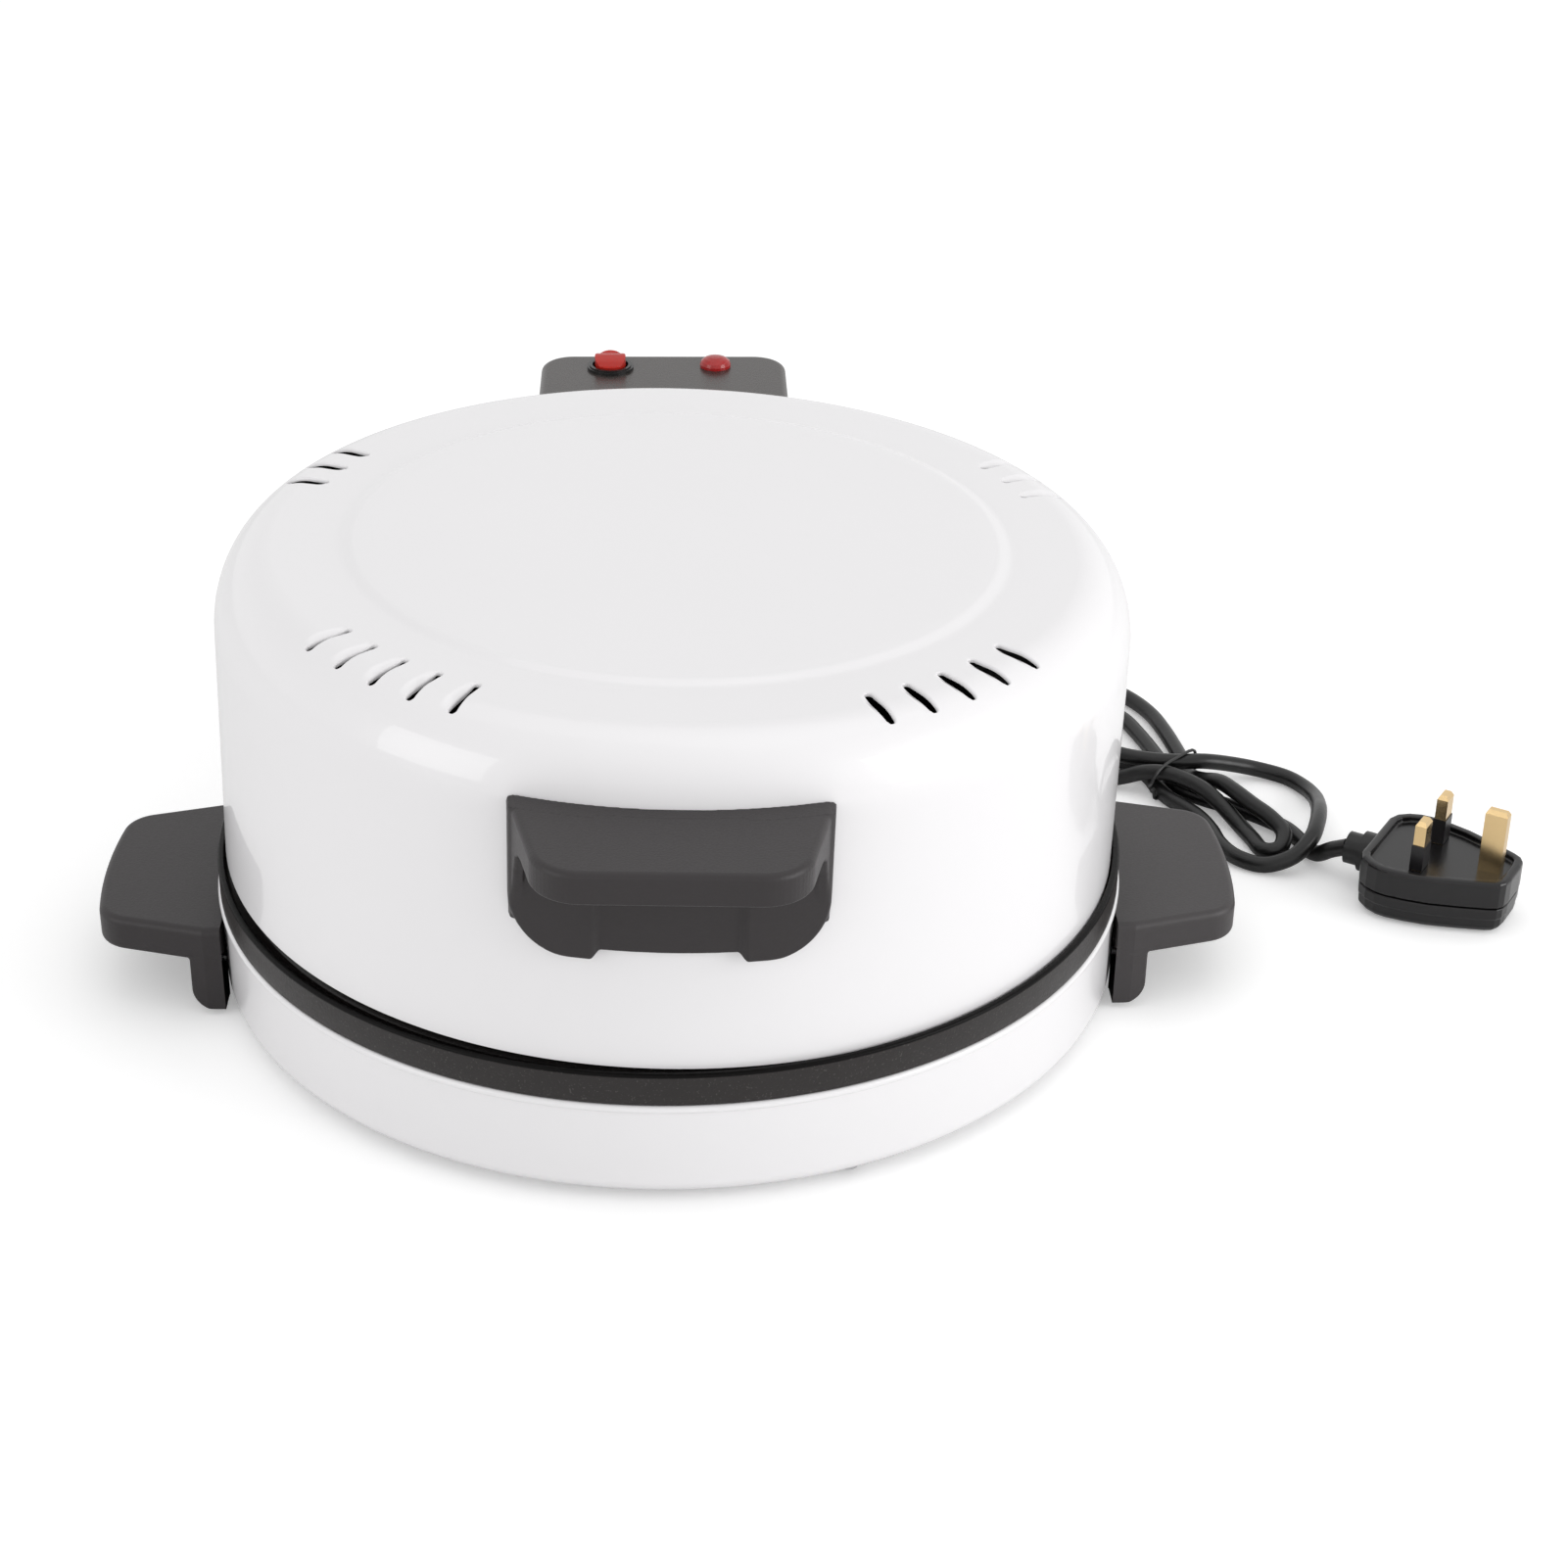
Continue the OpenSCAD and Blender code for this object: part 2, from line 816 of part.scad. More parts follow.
// spring clips in the pin's grooves
module hinge_pin_clips() {
    color(black)
    place()
    for (x = [-ear_out - 1, ear_out + 0.2])
    translate([x, hinge_y, hinge_z])
    rotate([0, 90, 0])
    difference() {
        cylinder(h = 0.8, r = pin_r + 2, $fn = 32);
        translate([0, 0, -1])
        cylinder(h = 3, r = pin_r - 0.6, $fn = 32);
        translate([-pin_r + 0.9, 0, -1])
        cube([2 * pin_r - 1.8, 8, 3]);
    }
}

module hinge_leaf() {
    color(steel)
    place()
    difference() {
        union() {
            translate([-leaf_half, hinge_y, hinge_z])
            rotate([0, 90, 0])
            cylinder(h = 2 * leaf_half, r = knuckle_r, $fn = 40);
            translate([-leaf_half, leaf_y, hinge_z])
            cube([2 * leaf_half, leaf_t, leaf_top - hinge_z]);
        }
        translate([-60, hinge_y, hinge_z])
        rotate([0, 90, 0])
        cylinder(h = 120, r = pin_r + pin_play, $fn = 40);
        for (x = [-12, 12])
        translate([x, leaf_y - 1, leaf_top - 8])
        rotate([-90, 0, 0])
        cylinder(h = 8, d = 3.2, $fn = 24);
    }
}

module hinge_leaf_screws() {
    color(steel)
    place()
    for (x = [-12, 12])
    translate([x, leaf_y, leaf_top - 8])
    rotate([90, 0, 0])
    screw(d = 3, l = leaf_t + 5, head_d = 6.4, head_h = 2);
}

// lid shell: the outer skin grown by g, as a profile
shoulder_steps = 10;

function shoulder_pts(g) = [for (i = [0 : shoulder_steps])
    let (a = 90 * i / shoulder_steps)
    [flat_r + (shoulder_w + g) * cos(a), wall_top + (shoulder_h + g) * sin(a)]];

module skin_profile(g, z0) {
    polygon(concat(
        [[0, z0], [lid_r + g + (lid_z - z0) * lid_draft / (wall_top - lid_z), z0]],
        shoulder_pts(g),
        [[disc_low_r, lid_top + g], [disc_r, lid_top + disc_rise + g], [0, lid_top + disc_rise + g]]
    ));
}

slot_angles = concat(
    [for (s = [-1, 1], i = [0 : front_count - 1]) 270 + front_turn + s * front_group_angle + (i - (front_count - 1) / 2) * slot_pitch],
    [for (i = [0 : rear_count - 1]) rear_first_angle + i * slot_pitch],
    [for (i = [0 : rear_count - 1]) 180 - rear_first_angle - i * slot_pitch]
);

module slot_shape(w) {
    translate([slot_in_r + slot_w / 2, -w / 2])
    square([slot_len - slot_w, w]);
    for (x = [slot_in_r + slot_w / 2, slot_out_r - slot_w / 2])
    translate([x, 0])
    circle(d = w, $fn = 16);
}

module lid_shell() {
    color(white)
    difference() {
        lean()
        lid_skin();
        // bores of the housing's screws and its cable hole
        place()
        for (x = [-box_screw_x, box_screw_x])
        for (z = box_screw_z)
        translate([x, lid_r - 20, z])
        rotate([-90, 0, 0])
        cylinder(h = 30, d = 3.6, $fn = 24);
        place()
        translate([0, lid_r - 12, box_low + 46])
        rotate([-90, 0, 0])
        cylinder(h = 30, d = 12, $fn = 32);
    }
}

module lid_skin() {
    difference() {
        union() {
            rotate_extrude($fn = 96)
            difference() {
                skin_profile(0, lid_z);
                skin_profile(-lid_t, lid_z - 1);
            }
            // lips turned in round the vent slots
            intersection() {
                for (a = slot_angles)
                rotate([0, 0, a])
                translate([0, 0, wall_top])
                linear_extrude(height = shoulder_h + 2)
                slot_shape(slot_w + 2 * slot_lip_t);
                rotate_extrude($fn = 96)
                difference() {
                    skin_profile(-lid_t * 0.5, lid_z);
                    skin_profile(-lid_t - slot_lip_h, lid_z - 1);
                    translate([0, 0])
                    square([slot_in_r - 4, lid_top + 5]);
                }
            }
        }
        for (a = slot_angles)
        rotate([0, 0, a])
        translate([0, 0, wall_top - 2])
        linear_extrude(height = shoulder_h + 6)
        slot_shape(slot_w);
        // bores of the handle's screws
        for (x = handle_screw_x)
        for (z = handle_screw_z)
        translate([x, -lid_r + 8, z])
        rotate([90, 0, 0])
        cylinder(h = 20, d = 3.4, $fn = 24);
    }
}

// aluminium dish above the upper element
module lid_reflector() {
    color(steel)
    lean()
    difference() {
        rotate_extrude($fn = 96)
        polygon([
            [0, reflector_z],
            [reflector_in_r, reflector_z],
            [reflector_edge_r - reflector_flange, reflector_edge_z],
            [reflector_edge_r, reflector_edge_z],
            [reflector_edge_r, reflector_edge_z + reflector_t],
            [reflector_edge_r - reflector_flange + 0.6, reflector_edge_z + reflector_t],
            [reflector_in_r + 0.6, reflector_z + reflector_t],
            [0, reflector_z + reflector_t]
        ]);
        for (s = [-1, 1])
        rotate([0, 0, 90 + s * element_gap / 2])
        translate([element_r, 0, reflector_z - 1])
        cylinder(h = 4, d = element_d + 2 * play, $fn = 24);
        for (a = [0 : 90 : 270])
        rotate([0, 0, a])
        translate([boss_r, 0, reflector_z - 1])
        cylinder(h = 4, d = 3.2, $fn = 24);
    }
}

reflector_edge_r = lid_r - lid_t - lid_draft * (reflector_edge_h + 1) / (wall_top - lid_z) - play;
reflector_in_r = boss_r + reflector_fold;

module upper_element() {
    color([0.35, 0.34, 0.33])
    lean()
    element_ring(upper_element_z, 1, upper_end);
}

// hangers that carry the upper element
module upper_element_clips() {
    color(steel)
    lean()
    for (a = [0 : 90 : 270])
    rotate([0, 0, a]) {
        translate([boss_r - 4, -clip_w / 2, reflector_z - 1])
        difference() {
            cube([9, clip_w, 1]);
            translate([4, clip_w / 2, -1])
            cylinder(h = 4, d = 3.2, $fn = 24);
        }
        translate([boss_r - 5, -clip_w / 2, upper_element_z - element_d / 2 - 1])
        cube([1, clip_w, reflector_z - upper_element_z + element_d / 2 + 1]);
        translate([element_r - 2, -clip_w / 2, upper_element_z - element_d / 2 - 1])
        cube([boss_r - 4 - element_r + 2, clip_w, 1]);
        translate([boss_r, 0, reflector_z - 1])
        rotate([180, 0, 0])
        screw(d = 3, l = 5, head_d = 5.6, head_h = 1.6);
    }
}

// front handle
handle_top = lid_z + handle_top_h;
handle_foot = lid_z + handle_foot_h;
handle_y = -front_reach;
handle_screw_x = [handle_shift - 32, handle_shift + 32];
handle_bore_y = sqrt(pow(lid_r + pad_t, 2) - 34 * 34) - 1.4;
handle_screw_z = [handle_foot + 10];

module handle_plan(inset) {
    hull() {
        translate([-handle_half + inset, -lid_r + 12])
        square([2 * (handle_half - inset), 1]);
        for (s = [-1, 1])
        translate([s * (handle_front_half - handle_corner), handle_y + handle_corner])
        circle(r = handle_corner - inset, $fn = 40);
    }
}

// side cheek seen from the side, as a profile of (y, z)
module cheek_side() {
    polygon([
        [-lid_r + 14, handle_foot + 9],
        [-lid_r + 5.5, handle_foot + 9],
        [-lid_r + 1.6, handle_foot + 20],
        [-lid_r - 0.8, handle_top - handle_lip - 9],
        [-lid_r - 3.2, handle_top - handle_lip - 3.6],
        [-lid_r - 7.5, handle_top - handle_lip - 0.8],
        [-lid_r - 13, handle_top - handle_lip],
        [handle_y - 5, handle_top - handle_lip],
        [handle_y - 5, handle_top],
        [-lid_r + 14, handle_top]
    ]);
}

module handle_lid_side(g) {
    translate([0, 0, lid_z])
    cylinder(h = wall_top - lid_z + 30, r1 = lid_r + g, r2 = lid_r + g - lid_draft, $fn = 144);
}

module front_handle() {
    color(charcoal)
    lean()
    difference() {
        translate([handle_shift, 0, 0])
        union() {
            // shelf, lip and cheeks
            difference() {
                intersection() {
                    translate([0, 0, handle_foot])
                    linear_extrude(height = handle_top - handle_foot)
                    handle_plan(0);
                    translate([-80, 0, 0])
                    rotate([90, 0, 90])
                    linear_extrude(height = 160)
                    cheek_side();
                }
                translate([0, 0, handle_foot - 1])
                linear_extrude(height = handle_top - handle_foot + 1 - handle_t)
                handle_plan(handle_t);
            }
            // back plate with two pads and a raised middle
            intersection() {
                translate([0, 0, handle_foot])
                difference() {
                    cylinder(h = handle_top - handle_foot - 1, r = lid_r + pad_t, $fn = 144);
                    translate([0, 0, -1])
                    difference() {
                        cylinder(h = 120, r = lid_r + pad_t + 2, $fn = 144);
                        translate([0, 0, -1])
                        cylinder(h = 130, r = lid_r + web_t, $fn = 144);
                        for (s = [-1, 1])
                        translate([s > 0 ? arch_half : -arch_half - 30, -lid_r - 20, -1])
                        cube([30, 60, 130]);
                    }
                }
                translate([0, -100, 0])
                rotate([90, 0, 0])
                linear_extrude(height = 100)
                back_outline();
            }
        }
        handle_lid_side(play);
        for (x = handle_screw_x)
        for (z = handle_screw_z)
        translate([x, -lid_r + 8, z])
        rotate([90, 0, 0])
        cylinder(h = handle_bore_y - lid_r + 8, d = 2.9, $fn = 24);
    }
}

// outline of the back plate as seen from the front
module back_outline() {
    difference() {
        union() {
            translate([-handle_half + 1.2, handle_foot + pad_corner])
            square([2 * handle_half - 2.4, handle_top - handle_foot - pad_corner - 1]);
            translate([-handle_half + 1.2 + pad_corner, handle_foot])
            square([2 * (handle_half - 1.2 - pad_corner), 30]);
            for (s = [-1, 1])
            translate([s * (handle_half - 1.2 - pad_corner), handle_foot + pad_corner])
            circle(r = pad_corner, $fn = 64);
        }
        translate([-arch_half, handle_foot - 1])
        square([2 * arch_half, handle_arch + 1]);
    }
}

module front_handle_screws() {
    color(steel)
    lean()
    for (x = handle_screw_x)
    for (z = handle_screw_z)
    translate([x, -sqrt(pow(lid_r - lid_t - 0.5, 2) - x * x) + 1.6, z])
    rotate([-90, 0, 0])
    screw(d = 2.9, l = 5.2, head_d = 7, head_h = 2);
}

// rear housing with the switch and the lamp
module box_plan(inset) {
    translate([box_shift, 0])
    union() {
        translate([-box_half + inset, 90])
        square([2 * (box_half - inset), back_reach - 90 - box_corner]);
        translate([-box_half + box_corner, 90])
        square([2 * (box_half - box_corner), back_reach - 90 - inset]);
        for (s = [-1, 1])
        translate([s * (box_half - box_corner), back_reach - box_corner])
        circle(r = box_corner - inset, $fn = 48);
    }
}

rib_y = leaf_y + leaf_t;

module control_housing() {
    color([0.16, 0.16, 0.17])
    difference() {
        union() {
            place()
            difference() {
                translate([0, 0, box_low])
                linear_extrude(height = box_top - box_low)
                box_plan(0);
                translate([0, 0, box_low + box_t])
                linear_extrude(height = box_top - box_low - 2 * box_t)
                box_plan(box_t);
            }
            place()
            // rib that carries the hinge leaf
            translate([box_shift - box_half + 1, rib_y, box_low + 1])
            cube([2 * box_half - 2, 4, leaf_top - box_low]);
            place()
            for (x = [-box_screw_x, box_screw_x])
            for (z = box_screw_z)
            translate([x, box_screw_y - 20, z])
            rotate([-90, 0, 0])
            cylinder(h = back_reach - box_screw_y + 19, d = 8, $fn = 24);
        }
        // the lid's wall
        lean()
        handle_lid_side(play);
        place()
        for (x = [-box_screw_x, box_screw_x])
        for (z = box_screw_z)
        translate([x, box_screw_y - 30, z])
        rotate([-90, 0, 0])
        cylinder(h = 31 + box_screw_len, d = 2.9, $fn = 24);
        // slot for the leaf
        place()
        translate([-leaf_half - seat, leaf_y - seat, box_low - 1])
        cube([2 * (leaf_half + seat), leaf_t + seat, 6]);
        place()
        for (x = [-12, 12])
        translate([x, leaf_y - 1, leaf_top - 8])
        rotate([-90, 0, 0])
        cylinder(h = 8, d = 3, $fn = 24);
        // holes for the switch and the lamp
        place()
        translate([-switch_x, switch_y, box_top - 5])
        cylinder(h = 10, r = bezel_r - 1.2, $fn = 48);
        place()
        translate([lamp_x, switch_y + 2, box_top - 5])
        cylinder(h = 10, r = lamp_r - 0.6, $fn = 48);
    }
}

module housing_screws() {
    color(steel)
    place()
    for (x = [-box_screw_x, box_screw_x])
    for (z = box_screw_z)
    translate([x, box_screw_y, z])
    rotate([90, 0, 0])
    screw(d = 2.9, l = box_screw_len, head_d = 7, head_h = 2);
}

opening_r = rocker_r + rocker_gap;

module switch_body() {
    color(black)
    place()
    translate([-switch_x, switch_y, box_top])
    difference() {
        union() {
            cylinder(h = bezel_h - 0.5, r = bezel_r, $fn = 48);
            cylinder(h = bezel_h, r = bezel_r - 0.9, $fn = 48);
            translate([0, 0, -16])
            cylinder(h = 16, r = bezel_r - 1.2, $fn = 48);
        }
        translate([0, 0, -8])
        cylinder(h = 20, r = opening_r, $fn = 48);
    }
}

module switch_terminals() {
    color(steel)
    place()
    for (y = [-4, 0, 4])
    translate([-switch_x - 2.4, switch_y + y - 0.4, box_top - 24])
    cube([4.8, 0.8, 8]);
}

// round rocker, resting with its near half pressed
module switch_rocker() {
    color([0.8, 0.1, 0.08])
    place()
    translate([-switch_x, switch_y, rocker_z])
    rotate([rocker_turn / 2, 0, 0])
    intersection() {
        translate([0, 0, -8])
        cylinder(h = 20, r = rocker_r, $fn = 48);
        translate([-10, 0, 0])
        rotate([90, 0, 90])
        linear_extrude(height = 20)
        union() {
            polygon([
                [-rocker_r - 1, -0.6],
                [rocker_r + 1, -0.6],
                [rocker_r + 1, 2.2 + (rocker_r + 1) * tan(rocker_turn / 2)],
                [0, 2.2],
                [-rocker_r - 1, 2.2 + (rocker_r + 1) * tan(rocker_turn / 2)]
            ]);
            circle(r = rocker_r - 0.4, $fn = 48);
        }
    }
}

module pilot_lamp_lens() {
    color([0.8, 0.08, 0.06])
    place()
    translate([lamp_x, switch_y + 2, box_top])
    rotate_extrude($fn = 48)
    polygon([
        [0, 0],
        [lamp_r, 0],
        [lamp_r, 1],
        [lamp_r * 0.92, 2.1],
        [lamp_r * 0.7, 3.1],
        [lamp_r * 0.38, 3.7],
        [0, 3.9]
    ]);
}

module pilot_lamp_body() {
    color(white)
    place()
    translate([lamp_x, switch_y + 2, box_top - 17]) {
        cylinder(h = 17, r = lamp_r - 0.6, $fn = 40);
        for (x = [-2, 2])
        translate([x, 0, -6])
        cylinder(h = 6, d = 1, $fn = 12);
    }
}

// mains lead
relief_end = pan_r + relief_len;

module strain_relief() {
    color(black)
    place()
    rotate([0, 0, exit_angle])
    translate([0, 0, exit_z])
    rotate([0, 90, 0])
    difference() {
        union() {
            translate([0, 0, pan_r - pan_t - 3])
            cylinder(h = 2.9, d = 12, $fn = 32);
            translate([0, 0, pan_r - pan_t - 1])
            cylinder(h = pan_t + 2, d = 8.8, $fn = 32);
            translate([0, 0, pan_r + 0.3])
            cylinder(h = 2.4, d = 13, $fn = 32);
            translate([0, 0, pan_r + 2.6])
            cylinder(h = relief_len - 2.6, d1 = 11, d2 = cord_d + 1.6, $fn = 32);
        }
        // cuts that let it bend
        for (i = [0 : 4])
        translate([0, 0, pan_r + 6 + i * 3.6])
        difference() {
            cylinder(h = 1.2, d = 16, $fn = 32);
            translate([0, 0, -1])
            cylinder(h = 4, d = cord_d + 0.6, $fn = 32);
        }
    }
}

// the lead's route about the plate's axis, laid as in use: a tied hank
lay = 3.1;
route = [
    [82.6, 155.4, 14], [86.5, 162.5, 13.4], [92, 172, 10], [100, 181.5, 6], [110.5, 189, 3.6],
    [123, 194, lay], [137, 196.5, lay], [151, 196, lay], [165, 191.5, lay], [176, 184.5, lay],
    [183.5, 175, lay], [189, 163, lay], [192, 150, lay], [194, 137, lay], [195.6, 124, lay],
    [197, 112, 3.4], [200, 103.6, 6.2], [204.5, 95, 10], [209, 86, 10.6], [213.8, 77.5, 10],
    [219, 69.2, 9.2], [222.4, 61, 7.4], [219.8, 54.3, 4.8], [214.2, 55.8, 3.3], [211.8, 64.5, lay],
    [208.8, 74.4, 3.3], [203.9, 83, 6.2], [198.2, 90.4, 9], [191.4, 97.4, 9.9], [184.5, 102.5, 9.9],
    [177.5, 105.3, 8.6], [170.5, 108, 5.4], [163, 109.5, 3.3], [153, 109.5, lay], [144, 113, lay],
    [139.5, 121, lay], [142.5, 129, lay], [151, 132.4, lay], [160.5, 130.6, lay], [169.5, 126.5, lay],
    [176.8, 119.5, lay], [181, 111, lay], [183, 102.5, lay], [186, 95, lay], [191, 87.5, lay],
    [195.3, 79.5, lay], [197.9, 70, lay], [199.4, 60.5, lay], [204, 51, lay], [213, 45.5, lay],
    [223, 45.3, 6.6], [230, 50.5, 11], [234, 60, 12], [236.8, 70.5, 11], [238.8, 81, 8],
    [240, 92, 5], [238.5, 102, 3.4], [233, 111, lay], [223, 115.8, 4], [212, 114.5, 7],
    [201, 111.5, 9.9], [190, 111, 10.1], [180, 113, 10], [170.5, 117, 9.9], [163, 123, 10],
    [157.5, 131, 10.2], [154, 140, 7.6], [153, 150, 3.6], [155.5, 160, lay], [162.5, 167, lay],
    [172, 166, lay], [178, 158, lay], [181.5, 147, lay], [184.3, 136, lay], [186.6, 125, lay],
    [188.2, 114, lay], [190, 104.4, lay], [195.8, 97.2, lay], [203.6, 91.4, lay], [212, 85.6, lay],
    [219.8, 78.6, lay], [226, 70.8, lay], [229.2, 62.6, lay], [231, 55.4, 3.4], [233.2, 49.8, 5.2],
    [236.6, 45.6, 9.2], [241.5, 42, 12.5]
];
lead_end = 10;
hank_end = 79;
route_end = len(route) - 1;

function at(p, i) = p[max(0, min(len(p) - 1, i))];

function bend(a, b, c, d, t) = 0.5 * (2 * b + (c - a) * t + (2 * a - 5 * b + 4 * c - d) * t * t
    + (3 * b - a - 3 * c + d) * t * t * t);

function flow(p, i0, i1, n) = [for (k = [0 : (i1 - i0) * n])
    let (i = i0 + floor(k / n), t = k / n - floor(k / n))
    bend(i > 0 ? p[i - 1] : 2 * p[0] - p[1], at(p, i), at(p, i + 1),
        i + 2 < len(p) ? p[i + 2] : 2 * at(p, i + 1) - at(p, i), t)];

function slope(p, i, n) = let (
    t = i / n,
    a = flow_at(p, t - 0.02),
    b = flow_at(p, t + 0.02))
    (b - a) / norm(b - a);

function flow_at(p, t) = let (
    c = max(0, min(len(p) - 1.0001, t)),
    i = floor(c))
    bend(i > 0 ? p[i - 1] : 2 * p[0] - p[1], p[i], at(p, i + 1),
        i + 2 < len(p) ? p[i + 2] : 2 * at(p, i + 1) - at(p, i), c - i);

function unit(v) = v / norm(v);

// one tube along p from point i0 to i1, n rings per step and k sides
module tube(p, i0, i1, r, n, k) {
    rings = (i1 - i0) * n;
    pts = [for (j = [0 : rings])
        let (q = flow_at(p, i0 + j / n), t = slope(p, i0 * n + j, n), s = unit(cross([0, 0, 1], t)), u = cross(t, s))
        for (m = [0 : k - 1]) q + r * (cos(360 * m / k) * s + sin(360 * m / k) * u)];
    last = rings * k;
    polyhedron(points = pts, faces = concat(
        [for (m = [1 : k - 2]) [0, m, m + 1]],
        [for (m = [1 : k - 2]) [last, last + m + 1, last + m]],
        [for (j = [0 : rings - 1], m = [0 : k - 1]) [j * k + m, (j + 1) * k + (m + 1) % k, j * k + (m + 1) % k]],
        [for (j = [0 : rings - 1], m = [0 : k - 1]) [j * k + m, (j + 1) * k + m, (j + 1) * k + (m + 1) % k]]
    ), convexity = 10);
}

module cord_lead() {
    color(black)
    place()
    tube(route, 0, lead_end, cord_d / 2, 2, 8);
}

function seg_dist(q, a, b) = let (
    d = b - a,
    t = max(0, min(1, (q - a) * d / (d * d))))
    norm(q - a - t * d);

module cord_hank() {
    // least gap of the lead to itself, measured on its centre line
    fine = [for (k = [0 : route_end * 4]) flow_at(route, k / 4)];
    len_mm = ceil_sum(fine);
    gap = min([for (i = [0 : len(fine) - 10], j = [i + 8 : len(fine) - 2]) seg_dist(fine[i], fine[j], fine[j + 1])]);
    echo(lead_length = len_mm, least_gap = gap - cord_d);
    color(black)
    place()
    tube(route, lead_end, hank_end, cord_d / 2, 2, 8);
}

function ceil_sum(p) = let (d = [for (i = [1 : len(p) - 1]) norm(p[i] - p[i - 1])])
    d * [for (i = d) 1];

module cord_tail() {
    color(black)
    place()
    tube(route, hank_end, route_end, cord_d / 2, 2, 8);
}

// wire tie round the crossing of the hank
tie_s = [[-14.5, 6.2, 1], [-12.4, 6.4, 0.7], [-11.4, 2.6, 0.3], [-8.5, 0.7, 0], [0, 0.7, 0], [10.5, 0.7, 0],
    [14.3, 3, 0], [14.5, 9.5, 0], [12, 13.4, 0], [3, 13.9, 0], [-5.5, 13.7, 0], [-10.3, 11.6, -0.2],
    [-12.6, 8, -0.6], [-14.5, 7.6, -0.8]];
tie_route = [for (q = tie_s) [188.5 + (q[0] + q[2]) * 0.7071, 105.5 + (q[0] - q[2]) * 0.7071, q[1]]];

module cord_tie() {
    color(black)
    place()
    tube(tie_route, 0, len(tie_route) - 1, tie_d / 2, 3, 6);
}

// plug, lying on its cover with the pins up
plug_half = [[-20, 0], [-20, 14], [-18.5, 18], [-15, 21], [-11, 22.6], [-7, 23], [0, 22.2], [8, 20.5], [18, 16.8],
    [27, 13], [29.6, 11.4], [31, 9], [31.5, 5], [31.5, 0]];

function plug_outline(s) = [for (q = concat(plug_half, [for (i = [len(plug_half) - 2 : -1 : 1])
    [plug_half[i][0], -plug_half[i][1]]])) [q[0] > 0 ? q[0] - s : q[0] + s, q[1] * (1 - s / 23)]];

module plug_place() {
    place()
    translate([266.4, 26.3, 0])
    rotate([0, 0, -32.3])
    children();
}

plug_face = plug_h - plug_recess;

module plug_base() {
    color(black)
    plug_place()
    difference() {
        translate([0, 0, plug_cover_h])
        linear_extrude(height = plug_h - plug_cover_h)
        polygon(plug_outline(0));
        translate([0, 0, plug_face])
        linear_extrude(height = 8)
        polygon(plug_outline(1.6));
        for (p = plug_pins)
        translate([p[0] - p[2] / 2, p[1] - p[3] / 2, plug_cover_h + 2])
        cube([p[2], p[3], 40]);
        for (q = plug_screw_at)
        translate([q[0], q[1], plug_face - 3])
        cylinder(h = 8, d = q[2] + 0.6, $fn = 24);
        translate([-24, 0, exit_plug_z])
        rotate([0, 90, 0])
        cylinder(h = 12, d = cord_d + 2.6, $fn = 32);
    }
}

// pins: u, v, size along u, size along v
plug_pins = [[22.2, 0, 8, 4], [0, 11.1, 4, 6.35], [0, -11.1, 4, 6.35]];
plug_screw_at = [[-13, 8.2, 4.4], [-13, -8.2, 4.4], [11, -3, 6]];
exit_plug_z = 12.5;

module plug_cover() {
    color(black)
    plug_place()
    difference() {
        hull() {
            translate([0, 0, plug_cover_h - 0.01])
            linear_extrude(height = 0.01)
            polygon(plug_outline(0.5));
            translate([0, 0, 2])
            linear_extrude(height = 0.01)
            polygon(plug_outline(1));
            linear_extrude(height = 0.01)
            polygon(plug_outline(3));
        }
        translate([-24, 0, exit_plug_z])
        rotate([0, 90, 0])
        cylinder(h = 12, d = cord_d + 2.6, $fn = 32);
        // finger groove along both long sides
        for (s = [-1, 1])
        translate([4, s * 26.4, 5.2])
        rotate([0, 90, -s * 22])
        cylinder(h = 44, d = 9, center = true, $fn = 32);
    }
}

module plug_earth_pin() {
    color(brass)
    plug_place()
    pin(plug_pins[0], plug_face + earth_pin_h);
}

module plug_live_pin() {
    color(brass)
    plug_place()
    pin(plug_pins[1], plug_face + line_pin_h);
}

module plug_neutral_pin() {
    color(brass)
    plug_place()
    pin(plug_pins[2], plug_face + line_pin_h);
}

// flat pin with chamfered end
module pin(p, top) {
    hull() {
        translate([p[0] - p[2] / 2, p[1] - p[3] / 2, plug_cover_h + 2])
        cube([p[2], p[3], top - 1.6 - plug_cover_h - 2]);
        translate([p[0] - p[2] / 2 + 0.9, p[1] - p[3] / 2 + 0.9, plug_cover_h + 2])
        cube([p[2] - 1.8, p[3] - 1.8, top - plug_cover_h - 2]);
    }
}

// insulating sleeves on the two current pins
module plug_pin_sleeves() {
    color(black)
    plug_place()
    for (i = [1, 2])
    difference() {
        translate([plug_pins[i][0] - plug_pins[i][2] / 2 - 0.3, plug_pins[i][1] - plug_pins[i][3] / 2 - 0.3, plug_face])
        cube([plug_pins[i][2] + 0.6, plug_pins[i][3] + 0.6, 9.5]);
        translate([plug_pins[i][0] - plug_pins[i][2] / 2, plug_pins[i][1] - plug_pins[i][3] / 2, plug_face - 1])
        cube([plug_pins[i][2], plug_pins[i][3], 12]);
    }
}

module plug_screws() {
    color(brass)
    plug_place()
    for (q = plug_screw_at)
    translate([q[0], q[1], plug_face - 3])
    difference() {
        cylinder(h = 2.6, d = q[2], $fn = 24);
        translate([-q[2], -0.4, 1.7])
        cube([2 * q[2], 0.8, 3]);
    }
}

